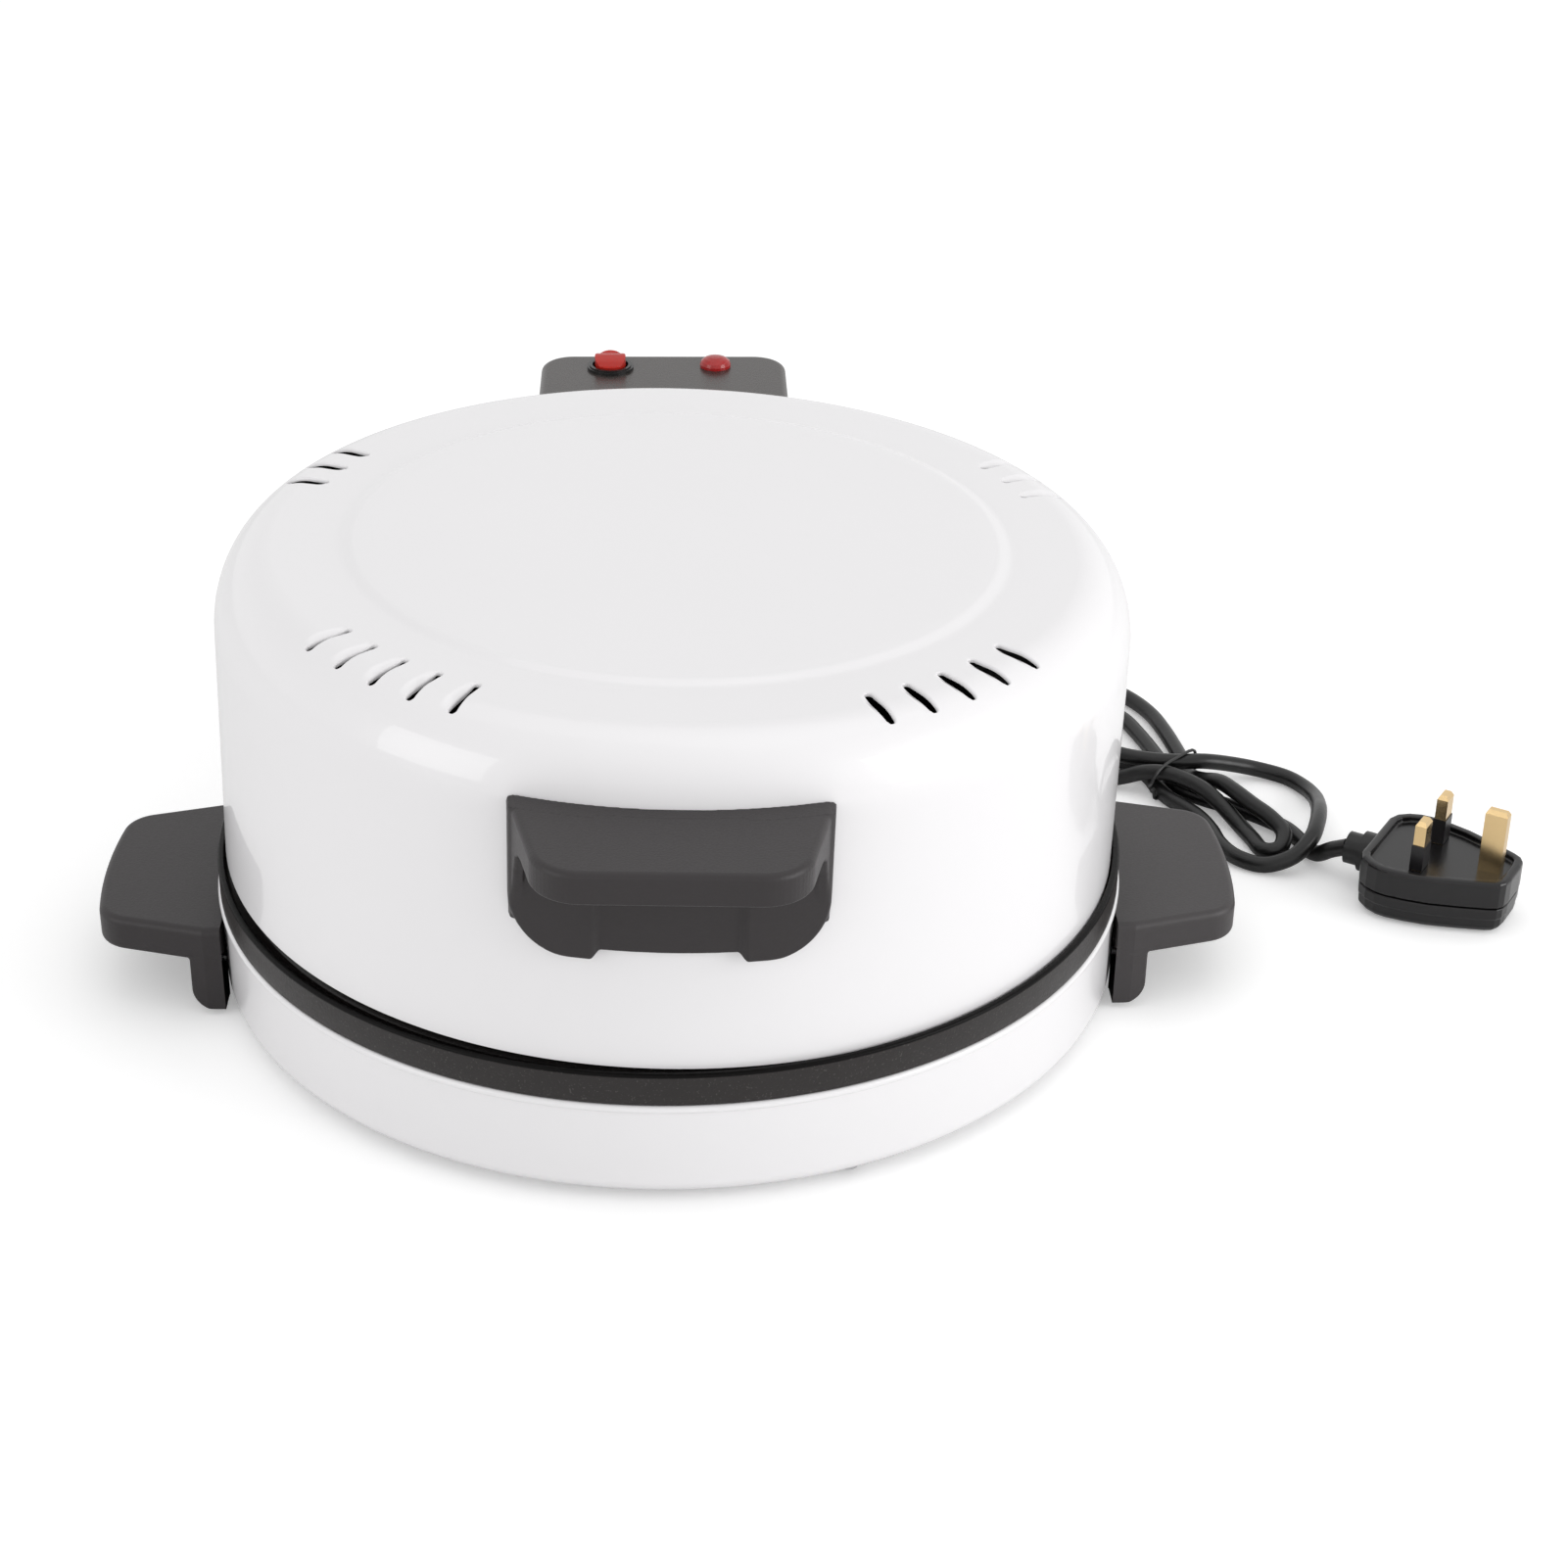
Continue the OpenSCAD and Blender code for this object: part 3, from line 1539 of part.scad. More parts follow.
// two-step collar where the lead enters the plug
module plug_cord_grip() {
    color(black)
    plug_place()
    translate([-29.4, 0, exit_plug_z])
    rotate([0, 90, 0]) {
        cylinder(h = 5.6, d = 11.6, $fn = 32);
        translate([0, 0, 5.5])
        cylinder(h = 3.8, d = 14.6, $fn = 32);
        translate([0, 0, 9])
        cylinder(h = 8, d = cord_d + 2.6, $fn = 32);
    }
}

base_pan();
bottom_cover();
foot_front_left();
foot_front_right();
foot_rear_left();
foot_rear_right();
cover_screws();
baking_plate();
lower_element();
lower_element_clips();
lower_reflector();
thermostat();
thermal_fuse();
base_terminal_block();
side_handle_left();
side_handle_right();
side_handle_screws();
hinge_bracket();
hinge_bracket_screws();
hinge_pin();
hinge_pin_clips();
strain_relief();
cord_lead();
cord_hank();
cord_tail();
cord_tie();
plug_base();
plug_cover();
plug_earth_pin();
plug_live_pin();
plug_neutral_pin();
plug_pin_sleeves();
plug_screws();
plug_cord_grip();
lid_shell();
lid_reflector();
upper_element();
upper_element_clips();
front_handle();
front_handle_screws();
control_housing();
housing_screws();
hinge_leaf();
hinge_leaf_screws();
switch_body();
switch_terminals();
pilot_lamp_lens();
pilot_lamp_body();
switch_rocker();
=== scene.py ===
import json
import math

import bmesh
import bpy
import numpy as np
from mathutils import Matrix, Vector


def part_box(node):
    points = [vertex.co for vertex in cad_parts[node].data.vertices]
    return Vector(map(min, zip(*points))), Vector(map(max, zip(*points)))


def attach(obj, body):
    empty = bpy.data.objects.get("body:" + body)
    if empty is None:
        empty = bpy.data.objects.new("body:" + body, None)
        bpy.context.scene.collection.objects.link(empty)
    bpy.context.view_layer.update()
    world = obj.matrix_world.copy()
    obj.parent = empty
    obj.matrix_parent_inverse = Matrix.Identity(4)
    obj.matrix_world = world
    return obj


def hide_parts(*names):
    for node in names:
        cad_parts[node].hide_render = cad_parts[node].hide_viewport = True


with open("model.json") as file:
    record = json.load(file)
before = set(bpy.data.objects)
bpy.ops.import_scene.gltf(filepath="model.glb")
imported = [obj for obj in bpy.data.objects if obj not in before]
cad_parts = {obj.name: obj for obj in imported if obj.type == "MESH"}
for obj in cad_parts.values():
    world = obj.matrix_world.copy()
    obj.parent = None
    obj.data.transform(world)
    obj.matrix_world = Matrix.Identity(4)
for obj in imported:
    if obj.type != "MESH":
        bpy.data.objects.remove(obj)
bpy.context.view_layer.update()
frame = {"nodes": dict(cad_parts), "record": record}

# the plate's axis stands a little behind the frame's origin
low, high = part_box("baking_plate")
AX = (low[0] + high[0]) / 2
AY = (low[1] + high[1]) / 2
MM = 0.001


def about_axis(x, y, z):
    return Vector((AX + x * MM, AY + y * MM, z * MM))


# camera
yaw, pitch, roll = 0.0437, 0.5014, 0.0166
forward = Vector((math.sin(yaw) * math.cos(pitch), math.cos(yaw) * math.cos(pitch), -math.sin(pitch)))
right = Vector((math.cos(yaw), -math.sin(yaw), 0))
up = right.cross(forward)
right, up = math.cos(roll) * right + math.sin(roll) * up, -math.sin(roll) * right + math.cos(roll) * up
camera_data = bpy.data.cameras.new("camera")
camera_data.sensor_width = 36
camera_data.lens = 67.78
camera_data.clip_start = 0.05
camera_data.clip_end = 20
camera = bpy.data.objects.new("camera", camera_data)
bpy.context.collection.objects.link(camera)
turn = Matrix((right, up, -forward)).transposed().to_4x4()
camera.matrix_world = Matrix.Translation(about_axis(0, -863.5, 535.8)) @ turn
bpy.context.scene.camera = camera
bpy.context.scene.view_settings.view_transform = "Standard"


# materials
def material(name, color, rough=0.5, metal=0.0, coat=0.0, grain=(600, 0.1, 0.02), tint=0.06, speck=None,
             see_through=0.0, coat_rough=0.05, painted_shade_over=None):
    """A procedural surface. grain = (scale, bump strength, roughness change), tint = how much the colour
    varies, speck = (scale, threshold, colour) for small flecks, painted_shade_over = height in metres above which
    the surface is painted near black with little gloss, as painted shade."""
    m = bpy.data.materials.new(name)
    m.use_nodes = True
    t = m.node_tree
    t.nodes.clear()
    n = lambda kind: t.nodes.new("ShaderNode" + kind)
    out = n("OutputMaterial")
    p = n("BsdfPrincipled")
    t.links.new(p.outputs["BSDF"], out.inputs["Surface"])
    p.inputs["Metallic"].default_value = metal
    p.inputs["IOR"].default_value = 1.45
    p.inputs["Coat Weight"].default_value = coat
    p.inputs["Coat Roughness"].default_value = coat_rough
    if see_through:
        p.inputs["Transmission Weight"].default_value = see_through
    where = n("TexCoord")
    noise = n("TexNoise")
    noise.inputs["Scale"].default_value = grain[0]
    noise.inputs["Detail"].default_value = 4
    t.links.new(where.outputs["Object"], noise.inputs["Vector"])
    wide = n("TexNoise")
    wide.inputs["Scale"].default_value = 14
    wide.inputs["Detail"].default_value = 3
    t.links.new(where.outputs["Object"], wide.inputs["Vector"])
    mix = n("Mix")
    mix.data_type = "RGBA"
    mix.inputs["A"].default_value = (*[c * (1 - tint) for c in color], 1)
    mix.inputs["B"].default_value = (*[min(1, c * (1 + tint)) for c in color], 1)
    t.links.new(wide.outputs["Fac"], mix.inputs["Factor"])
    last = mix.outputs["Result"]
    if speck:
        fleck = n("TexNoise")
        fleck.inputs["Scale"].default_value = speck[0]
        fleck.inputs["Detail"].default_value = 2
        t.links.new(where.outputs["Object"], fleck.inputs["Vector"])
        ramp = n("ValToRGB")
        ramp.color_ramp.elements[0].position = speck[1]
        ramp.color_ramp.elements[1].position = min(1, speck[1] + 0.04)
        t.links.new(fleck.outputs["Fac"], ramp.inputs["Fac"])
        mix2 = n("Mix")
        mix2.data_type = "RGBA"
        t.links.new(ramp.outputs["Color"], mix2.inputs["Factor"])
        t.links.new(last, mix2.inputs["A"])
        mix2.inputs["B"].default_value = (*speck[2], 1)
        last = mix2.outputs["Result"]
    # painted shade: above this height the colour drops to 12 per cent and the gloss falls with it, standing in for
    # the shade under the lid's edge
    if painted_shade_over:
        place = n("SeparateXYZ")
        t.links.new(where.outputs["Object"], place.inputs["Vector"])
        fade = n("MapRange")
        fade.inputs["From Min"].default_value = painted_shade_over
        fade.inputs["From Max"].default_value = painted_shade_over + 0.0004
        fade.inputs["To Min"].default_value = 1
        fade.inputs["To Max"].default_value = 0.12
        t.links.new(place.outputs["Z"], fade.inputs["Value"])
        shade = n("VectorMath")
        shade.operation = "SCALE"
        t.links.new(last, shade.inputs["Vector"])
        t.links.new(fade.outputs["Result"], shade.inputs["Scale"])
        last = shade.outputs["Vector"]
        gloss = n("MapRange")
        gloss.inputs["From Min"].default_value = 0.12
        gloss.inputs["To Min"].default_value = 0.12
        gloss.inputs["To Max"].default_value = 0.5
        t.links.new(fade.outputs["Result"], gloss.inputs["Value"])
        t.links.new(gloss.outputs["Result"], p.inputs["Specular IOR Level"])
    t.links.new(last, p.inputs["Base Color"])
    r = n("MapRange")
    r.inputs["To Min"].default_value = max(0.02, rough - grain[2])
    r.inputs["To Max"].default_value = min(1, rough + grain[2])
    t.links.new(noise.outputs["Fac"], r.inputs["Value"])
    t.links.new(r.outputs["Result"], p.inputs["Roughness"])
    if grain[1]:
        bump = n("Bump")
        bump.inputs["Strength"].default_value = grain[1]
        bump.inputs["Distance"].default_value = 0.0002
        t.links.new(noise.outputs["Fac"], bump.inputs["Height"])
        t.links.new(bump.outputs["Normal"], p.inputs["Normal"])
    return m


LOOK = {
    "lid_enamel": material("lid_enamel", (0.80, 0.79, 0.80), 0.3, coat=0.6, grain=(260, 0, 0.03), tint=0.01,
                           coat_rough=0.02),
    # painted shade: the lid sheet's inside is near black, for the shade inside the lid seen through the slots
    "lid_inside": material("lid_inside", (0.002, 0.002, 0.002), 0.9),
    # painted light: the right handle's plastic is a lighter copy of handle_plastic, for the light falling on the
    # right side
    "handle_right": material("handle_right", (0.038, 0.034, 0.035), 0.46, grain=(1400, 0.3, 0.08), tint=0.08),
    "pan_enamel": material("pan_enamel", (0.80, 0.79, 0.80), 0.3, coat=0.5, grain=(260, 0, 0.03), tint=0.01,
                           coat_rough=0.03),
    "cover_steel": material("cover_steel", (0.45, 0.45, 0.46), 0.4, metal=1.0),
    "foot_rubber": material("foot_rubber", (0.02, 0.02, 0.02), 0.8),
    "screw_steel": material("screw_steel", (0.55, 0.55, 0.56), 0.3, metal=1.0),
    # the rim's upper edge, above 46.3 mm, carries painted shade for the dark gap under the lid's edge
    "plate_nonstick": material("plate_nonstick", (0.012, 0.0095, 0.009), 0.36, grain=(900, 0.35, 0.08),
                               tint=0.15, speck=(1500, 0.64, (0.05, 0.045, 0.043)),
                               painted_shade_over=0.0463),
    "element_sheath": material("element_sheath", (0.12, 0.11, 0.10), 0.45, metal=0.7),
    "clip_steel": material("clip_steel", (0.5, 0.5, 0.52), 0.35, metal=1.0),
    "reflector_aluminium": material("reflector_aluminium", (0.75, 0.75, 0.76), 0.3, metal=1.0),
    "phenolic_black": material("phenolic_black", (0.03, 0.025, 0.022), 0.5),
    "ceramic_white": material("ceramic_white", (0.75, 0.74, 0.7), 0.5),
    "handle_plastic": material("handle_plastic", (0.021, 0.0175, 0.0185), 0.46, grain=(1400, 0.35, 0.08),
                               tint=0.08),
    "hinge_steel": material("hinge_steel", (0.4, 0.4, 0.42), 0.35, metal=1.0),
    "cord_pvc": material("cord_pvc", (0.005, 0.005, 0.005), 0.34, grain=(900, 0.2, 0.06), tint=0.2),
    "tie_plastic": material("tie_plastic", (0.012, 0.012, 0.012), 0.45),
    "plug_plastic": material("plug_plastic", (0.006, 0.0055, 0.006), 0.24, grain=(900, 0.12, 0.04), tint=0.1),
    "plug_brass": material("plug_brass", (0.74, 0.54, 0.28), 0.24, metal=1.0, grain=(300, 0.03, 0.04),
                           tint=0.05),
    "sleeve_plastic": material("sleeve_plastic", (0.012, 0.011, 0.012), 0.35),
    "housing_plastic": material("housing_plastic", (0.032, 0.026, 0.024), 0.27, grain=(1200, 0.25, 0.06)),
    "switch_plastic": material("switch_plastic", (0.012, 0.012, 0.012), 0.3),
    "lamp_red": material("lamp_red", (0.55, 0.02, 0.02), 0.18, see_through=0.35),
    "lamp_body": material("lamp_body", (0.6, 0.6, 0.58), 0.5),
    "rocker_red": material("rocker_red", (0.6, 0.03, 0.02), 0.2, see_through=0.3),
}
# painted shade: the reflector's upper side, in the dark inside of the lid, is painted near black; its lower side is
# bright
t = LOOK["reflector_aluminium"].node_tree
p = t.nodes["Principled BSDF"]
facing = t.nodes.new("ShaderNodeTexCoord")
parts = t.nodes.new("ShaderNodeSeparateXYZ")
t.links.new(facing.outputs["Normal"], parts.inputs["Vector"])
upper = t.nodes.new("ShaderNodeMath")
upper.operation = "GREATER_THAN"
upper.inputs[1].default_value = 0.1
t.links.new(parts.outputs["Z"], upper.inputs[0])
upper_painted_shade = t.nodes.new("ShaderNodeMix")
upper_painted_shade.data_type = "RGBA"
t.links.new(upper.outputs[0], upper_painted_shade.inputs["Factor"])
t.links.new(p.inputs["Base Color"].links[0].from_socket, upper_painted_shade.inputs["A"])
upper_painted_shade.inputs["B"].default_value = (0.004, 0.004, 0.004, 1)
t.links.new(upper_painted_shade.outputs["Result"], p.inputs["Base Color"])

slot_of = {s["node"]: s["material_slot"] for s in frame["record"]["subparts"]}
for node, obj in frame["nodes"].items():
    obj.data.materials.clear()
    obj.data.materials.append(LOOK[slot_of[node]])


def add(name, verts, faces, look, body, node=None, smooth=30, inside=None, inside_from=0, normals=None):
    """Makes a piece from points in millimetres about the plate's axis. Faces from inside_from on get a
    second look."""
    me = bpy.data.meshes.new(name)
    me.from_pydata([tuple(about_axis(*v)) for v in verts], [], [tuple(int(i) for i in f) for f in faces])
    me.materials.append(LOOK[look])
    if inside:
        me.materials.append(LOOK[inside])
        for f in me.polygons[inside_from:]:
            f.material_index = 1
    if normals is None:
        bm = bmesh.new()
        bm.from_mesh(me)
        bmesh.ops.remove_doubles(bm, verts=bm.verts, dist=1e-6)
        bmesh.ops.recalc_face_normals(bm, faces=bm.faces)
        bm.to_mesh(me)
        bm.free()
    for f in me.polygons:
        f.use_smooth = True
    if normals is None:
        me.set_sharp_from_angle(angle=math.radians(smooth))
    else:
        me.normals_split_custom_set_from_vertices([tuple(v) for v in normals])
    o = bpy.data.objects.new(name, me)
    bpy.context.collection.objects.link(o)
    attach(o, body)
    if node:
        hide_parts(*([node] if isinstance(node, str) else node))
    return o


# mains lead
LAY = 3.1
ROUTE = [
    (82.6, 155.4, 14), (86.5, 162.5, 13.4), (92, 172, 10), (100, 181.5, 6), (110.5, 189, 3.6),
    (123, 194, LAY), (137, 196.5, LAY), (151, 196, LAY), (165, 191.5, LAY), (176, 184.5, LAY),
    (183.5, 175, LAY), (189, 163, LAY), (192, 150, LAY), (194, 137, LAY), (195.6, 124, LAY),
    (197, 112, 3.4), (200, 103.6, 6.2), (204.5, 95, 10), (209, 86, 10.6), (213.8, 77.5, 10),
    (219, 69.2, 9.2), (222.4, 61, 7.4), (219.8, 54.3, 4.8), (214.2, 55.8, 3.3), (211.8, 64.5, LAY),
    (208.8, 74.4, 3.3), (203.9, 83, 6.2), (198.2, 90.4, 9), (191.4, 97.4, 9.9), (184.5, 102.5, 9.9),
    (177.5, 105.3, 8.6), (170.5, 108, 5.4), (163, 109.5, 3.3), (153, 109.5, LAY), (144, 113, LAY),
    (139.5, 121, LAY), (142.5, 129, LAY), (151, 132.4, LAY), (160.5, 130.6, LAY), (169.5, 126.5, LAY),
    (176.8, 119.5, LAY), (181, 111, LAY), (183, 102.5, LAY), (186, 95, LAY), (191, 87.5, LAY),
    (195.3, 79.5, LAY), (197.9, 70, LAY), (199.4, 60.5, LAY), (204, 51, LAY), (213, 45.5, LAY),
    (223, 45.3, 6.6), (230, 50.5, 11), (234, 60, 12), (236.8, 70.5, 11), (238.8, 81, 8),
    (240, 92, 5), (238.5, 102, 3.4), (233, 111, LAY), (223, 115.8, 4), (212, 114.5, 7),
    (201, 111.5, 9.9), (190, 111, 10.1), (180, 113, 10), (170.5, 117, 9.9), (163, 123, 10),
    (157.5, 131, 10.2), (154, 140, 7.6), (153, 150, 3.6), (155.5, 160, LAY), (162.5, 167, LAY),
    (172, 166, LAY), (178, 158, LAY), (181.5, 147, LAY), (184.3, 136, LAY), (186.6, 125, LAY),
    (188.2, 114, LAY), (190, 104.4, LAY), (195.8, 97.2, LAY), (203.6, 91.4, LAY), (212, 85.6, LAY),
    (219.8, 78.6, LAY), (226, 70.8, LAY), (229.2, 62.6, LAY), (231, 55.4, 3.4), (233.2, 49.8, 5.2),
    (236.6, 45.6, 9.2), (241.5, 42, 12.5),
]


def flow(points, steps):
    p = np.array(points, float)
    q = np.vstack([2 * p[0] - p[1], p, 2 * p[-1] - p[-2]])
    out = []
    for i in range(1, len(q) - 2):
        a, b, c, d = q[i - 1:i + 3]
        for k in range(steps):
            u = k / steps
            out.append(0.5 * (2 * b + (c - a) * u + (2 * a - 5 * b + 4 * c - d) * u * u
                              + (3 * b - a - 3 * c + d) * u ** 3))
    out.append(p[-1])
    return np.array(out)


def tube(line, radius, sides):
    """Rings of a round tube along a line; returns points and faces with both ends closed."""
    line = np.array(line)
    t = np.gradient(line, axis=0)
    t /= np.linalg.norm(t, axis=1)[:, None]
    s = np.cross([0, 0, 1], t)
    s /= np.linalg.norm(s, axis=1)[:, None]
    u = np.cross(t, s)
    a = np.arange(sides) * 2 * math.pi / sides
    ring = np.cos(a)[None, :, None] * s[:, None] + np.sin(a)[None, :, None] * u[:, None]
    pts = line[:, None] + radius * ring
    n = len(line)
    faces = [(j * sides + m, j * sides + (m + 1) % sides, (j + 1) * sides + (m + 1) % sides,
              (j + 1) * sides + m) for j in range(n - 1) for m in range(sides)]
    faces += [tuple(range(sides))[::-1], tuple((n - 1) * sides + m for m in range(sides))]
    return pts.reshape(-1, 3), faces


line = flow(ROUTE, 6)
points, faces = tube(line, 2.98, 20)
lead = add("mains_lead", points, faces, "cord_pvc", "base", ["cord_lead", "cord_hank", "cord_tail"],
           smooth=60)

# lid shell
LID_Z, LID_H, LID_R, DRAFT, SH_H, SH_W = 48.0, 104.2, 147.1, 0.6, 25.4, 19.2
WALL_TOP = LID_Z + LID_H - SH_H
TOP_R = LID_R - DRAFT
FLAT_R = TOP_R - SH_W
LEAN = math.radians(1.3)


def leaned(p):
    p = np.array(p, float)
    x, z = p[:, 0].copy(), p[:, 2] - LID_Z
    p[:, 0] = x * math.cos(LEAN) + z * math.sin(LEAN)
    p[:, 2] = LID_Z - x * math.sin(LEAN) + z * math.cos(LEAN)
    return p


def skin(g):
    """Outer profile of the lid, grown by g, from its edge to the middle."""
    out = [(LID_R + g, LID_Z), (LID_R + g - DRAFT * 0.5, LID_Z + 40), (TOP_R + g, WALL_TOP)]
    for i in range(1, 37):
        a = math.radians(90 * i / 36)
        out.append((FLAT_R + (SH_W + g) * math.cos(a), WALL_TOP + (SH_H + g) * math.sin(a)))
    top = LID_Z + LID_H + g
    for r in np.arange(FLAT_R - 1, 107.6, -1.0):
        out.append((float(r), top))
    for k in range(0, 9):
        u = k / 8
        out.append((107.0 - 5.0 * u, top + 1.2 * (3 * u * u - 2 * u ** 3)))
    out += [(96, top + 1.2), (60, top + 1.2), (20, top + 1.2), (0, top + 1.2)]
    return out


# the vent slots' directions in two front groups of five and two rear groups of three, and their size
SLOT_PITCH, FRONT_SLOTS, FRONT_GROUP, REAR_SLOTS = 6.25, 269.15, 40, 18.6
SLOTS = [math.radians(FRONT_SLOTS + s * FRONT_GROUP + (i - 2) * SLOT_PITCH) for s in (-1, 1) for i in range(5)]
SLOTS += [math.radians(REAR_SLOTS + i * SLOT_PITCH) for i in range(3)]
SLOTS += [math.radians(180 - REAR_SLOTS - i * SLOT_PITCH) for i in range(3)]
SLOT_IN, SLOT_OUT, SLOT_W = 120.5, 135.7, 2.4
LOUVRE_DEPTH = 1.3


def resample(profile, fine):
    """Splits the profile so that steps inside the slots' band are fine."""
    out = [profile[0]]
    for a, b in zip(profile, profile[1:]):
        d = math.hypot(b[0] - a[0], b[1] - a[1])
        inside = min(a[0], b[0]) < SLOT_OUT + 2.5 and max(a[0], b[0]) > SLOT_IN - 2.5
        n = max(1, math.ceil(d / (fine if inside else 6)))
        out += [(a[0] + (b[0] - a[0]) * k / n, a[1] + (b[1] - a[1]) * k / n) for k in range(1, n + 1)]
    return out


def slot_distance(x, y):
    """Distance from the nearest slot's middle line, minus half its width; below 0 is open."""
    best = np.full(x.shape, 1e9)
    for a in SLOTS:
        u = x * math.cos(a) + y * math.sin(a)
        v = -x * math.sin(a) + y * math.cos(a)
        c = np.clip(u, SLOT_IN + SLOT_W / 2, SLOT_OUT - SLOT_W / 2)
        best = np.minimum(best, np.hypot(u - c, v) - SLOT_W / 2)
    return best


def louvre(x, y):
    """How far the sheet is pressed down beside a slot: a shallow ramp on one long side, none at the ends."""
    down = np.zeros(x.shape)
    for a in SLOTS:
        u = x * math.cos(a) + y * math.sin(a)
        v = (-x * math.sin(a) + y * math.cos(a)) * (1 if math.sin(a) > 0 else -1)
        k = np.clip((u - SLOT_IN - 0.6) / (SLOT_OUT - SLOT_IN - 1.2), 0, 1)
        reach = 2.2 + 1.4 * k
        ramp = np.clip((SLOT_W / 2 + reach - v) / reach, 0, 1) * (v > 0)
        down = np.maximum(down, LOUVRE_DEPTH * np.sin(np.pi * k) ** 0.8 * ramp * ramp * (3 - 2 * ramp))
    return down


def lid_columns():
    marks = []
    for a in SLOTS:
        marks += [a % (2 * math.pi) + d / 129 for d in np.arange(-4.8, 4.81, 0.3)]
    marks = sorted(marks)
    out = []
    for a, b in zip(marks, marks[1:] + [marks[0] + 2 * math.pi]):
        out.append(a)
        n = max(1, math.ceil((b - a) / math.radians(1.6)))
        out += [a + (b - a) * k / n for k in range(1, n)]
    return np.array(out)


outer = np.array(resample(skin(0), 0.3))
along = np.gradient(outer, axis=0)
along /= np.linalg.norm(along, axis=1)[:, None]
# inward normal of the profile, for the sheet's inside
inward = np.stack([-np.abs(along[:, 1]), -np.abs(along[:, 0])], axis=1)
inner = outer + inward * 0.95
inner[:, 0] = np.clip(inner[:, 0], 0, None)
inner[0, 1] = LID_Z
turns = lid_columns()
R, T = np.meshgrid(outer[:, 0], turns, indexing="ij")
Z = np.repeat(outer[:, 1][:, None], len(turns), axis=1)
X, Y = R * np.cos(T), R * np.sin(T)
inband = (R > SLOT_IN - 3) & (R < SLOT_OUT + 3)
dist = np.where(inband, slot_distance(X, Y), 9.0)
# points close to a slot's outline move onto it, so the edge is smooth
close = np.abs(dist) < 0.17
e = 0.01
gx = (slot_distance(X + e, Y) - slot_distance(X - e, Y)) / (2 * e)
gy = (slot_distance(X, Y + e) - slot_distance(X, Y - e)) / (2 * e)
X = np.where(close, X - gx * dist, X)
Y = np.where(close, Y - gy * dist, Y)
dist = np.where(close, 0.0, dist)
R2 = np.hypot(X, Y)
Z = np.where(close, np.interp(R2, outer[::-1, 0], outer[::-1, 1]), Z)
# the sheet rolls down into a slot over the last half millimetre
ROLL = 0.55
roll = np.clip((ROLL - dist) / ROLL, 0, 1)
drop = ROLL * (1 - np.sqrt(np.clip(1 - roll ** 2, 0, 1)))
rows, cols = R.shape
Z = Z - np.where(inband, louvre(X, Y), 0)
skin_out = np.stack([X, Y, Z - drop], axis=-1).reshape(-1, 3)
RI = np.repeat(inner[:, 0][:, None], cols, axis=1)
ZI = np.repeat(inner[:, 1][:, None], cols, axis=1)
XI, YI = np.where(inband, X, RI * np.cos(T)), np.where(inband, Y, RI * np.sin(T))
ZI = np.where(inband, Z - 1.3, ZI)
skin_in = np.stack([XI, YI, ZI], axis=-1).reshape(-1, 3)
flat_dist = dist.reshape(-1)
count = rows * cols
quads = []
for i in range(rows - 1):
    for j in range(cols):
        q = (i * cols + j, i * cols + (j + 1) % cols, (i + 1) * cols + (j + 1) % cols, (i + 1) * cols + j)
        if max(flat_dist[k] for k in q) <= 0:
            continue
        quads.append(q)
used = {}
for q in quads:
    for a, b in zip(q, q[1:] + q[:1]):
        used[(a, b)] = True
walls = [(a, b, b + count, a + count) for (a, b) in used
         if (b, a) not in used and flat_dist[a] <= 0 and flat_dist[b] <= 0]
walls += [(j, (j + 1) % cols, count + (j + 1) % cols, count + j) for j in range(cols)]
faces = quads + walls
# the sheet's inside faces from here on take lid_inside, which is painted shade
dark_from = len(faces)
faces += [tuple(k + count for k in q[::-1]) for q in quads]
add("lid_skin", leaned(np.vstack([skin_out, skin_in])), faces, "lid_enamel", "lid", "lid_shell",
    smooth=50, inside="lid_inside", inside_from=dark_from)


# distance fields
def r_and(a, b, r):
    """Common part of two distance fields with an edge of radius r."""
    if r <= 0:
        return np.maximum(a, b)
    return np.minimum(-r, np.maximum(a, b)) + np.hypot(np.maximum(r + a, 0), np.maximum(r + b, 0))


def r_or(a, b, r):
    """Both distance fields together with a fillet of radius r."""
    return -r_and(-a, -b, r)


def hull2(points):
    pts = sorted(set((round(float(x), 4), round(float(y), 4)) for x, y in points))

    def half(seq):
        out = []
        for p in seq:
            while len(out) > 1 and ((out[-1][0] - out[-2][0]) * (p[1] - out[-2][1])
                                    - (out[-1][1] - out[-2][1]) * (p[0] - out[-2][0])) <= 0:
                out.pop()
            out.append(p)
        return out[:-1]

    return half(pts) + half(pts[::-1])


def arc(cx, cy, r, a0, a1, n):
    turn = [math.radians(a0 + (a1 - a0) * i / n) for i in range(n + 1)]
    return [(cx + r * math.cos(a), cy + r * math.sin(a)) for a in turn]


def poly(x, y, pts):
    """Signed distance from a closed polygon, negative inside."""
    x, y = np.broadcast_arrays(x, y)
    d = np.full(x.shape, 1e18)
    sign = np.ones(x.shape)
    n = len(pts)
    for i in range(n):
        ax, ay = pts[i]
        bx, by = pts[i - 1]
        ex, ey = bx - ax, by - ay
        wx, wy = x - ax, y - ay
        h = np.clip((wx * ex + wy * ey) / (ex * ex + ey * ey), 0, 1)
        d = np.minimum(d, (wx - ex * h) ** 2 + (wy - ey * h) ** 2)
        c1, c2, c3 = y >= ay, y < by, ex * wy > ey * wx
        flip = (c1 & c2 & c3) | (~c1 & ~c2 & ~c3)
        sign = np.where(flip, -sign, sign)
    return sign * np.sqrt(d)


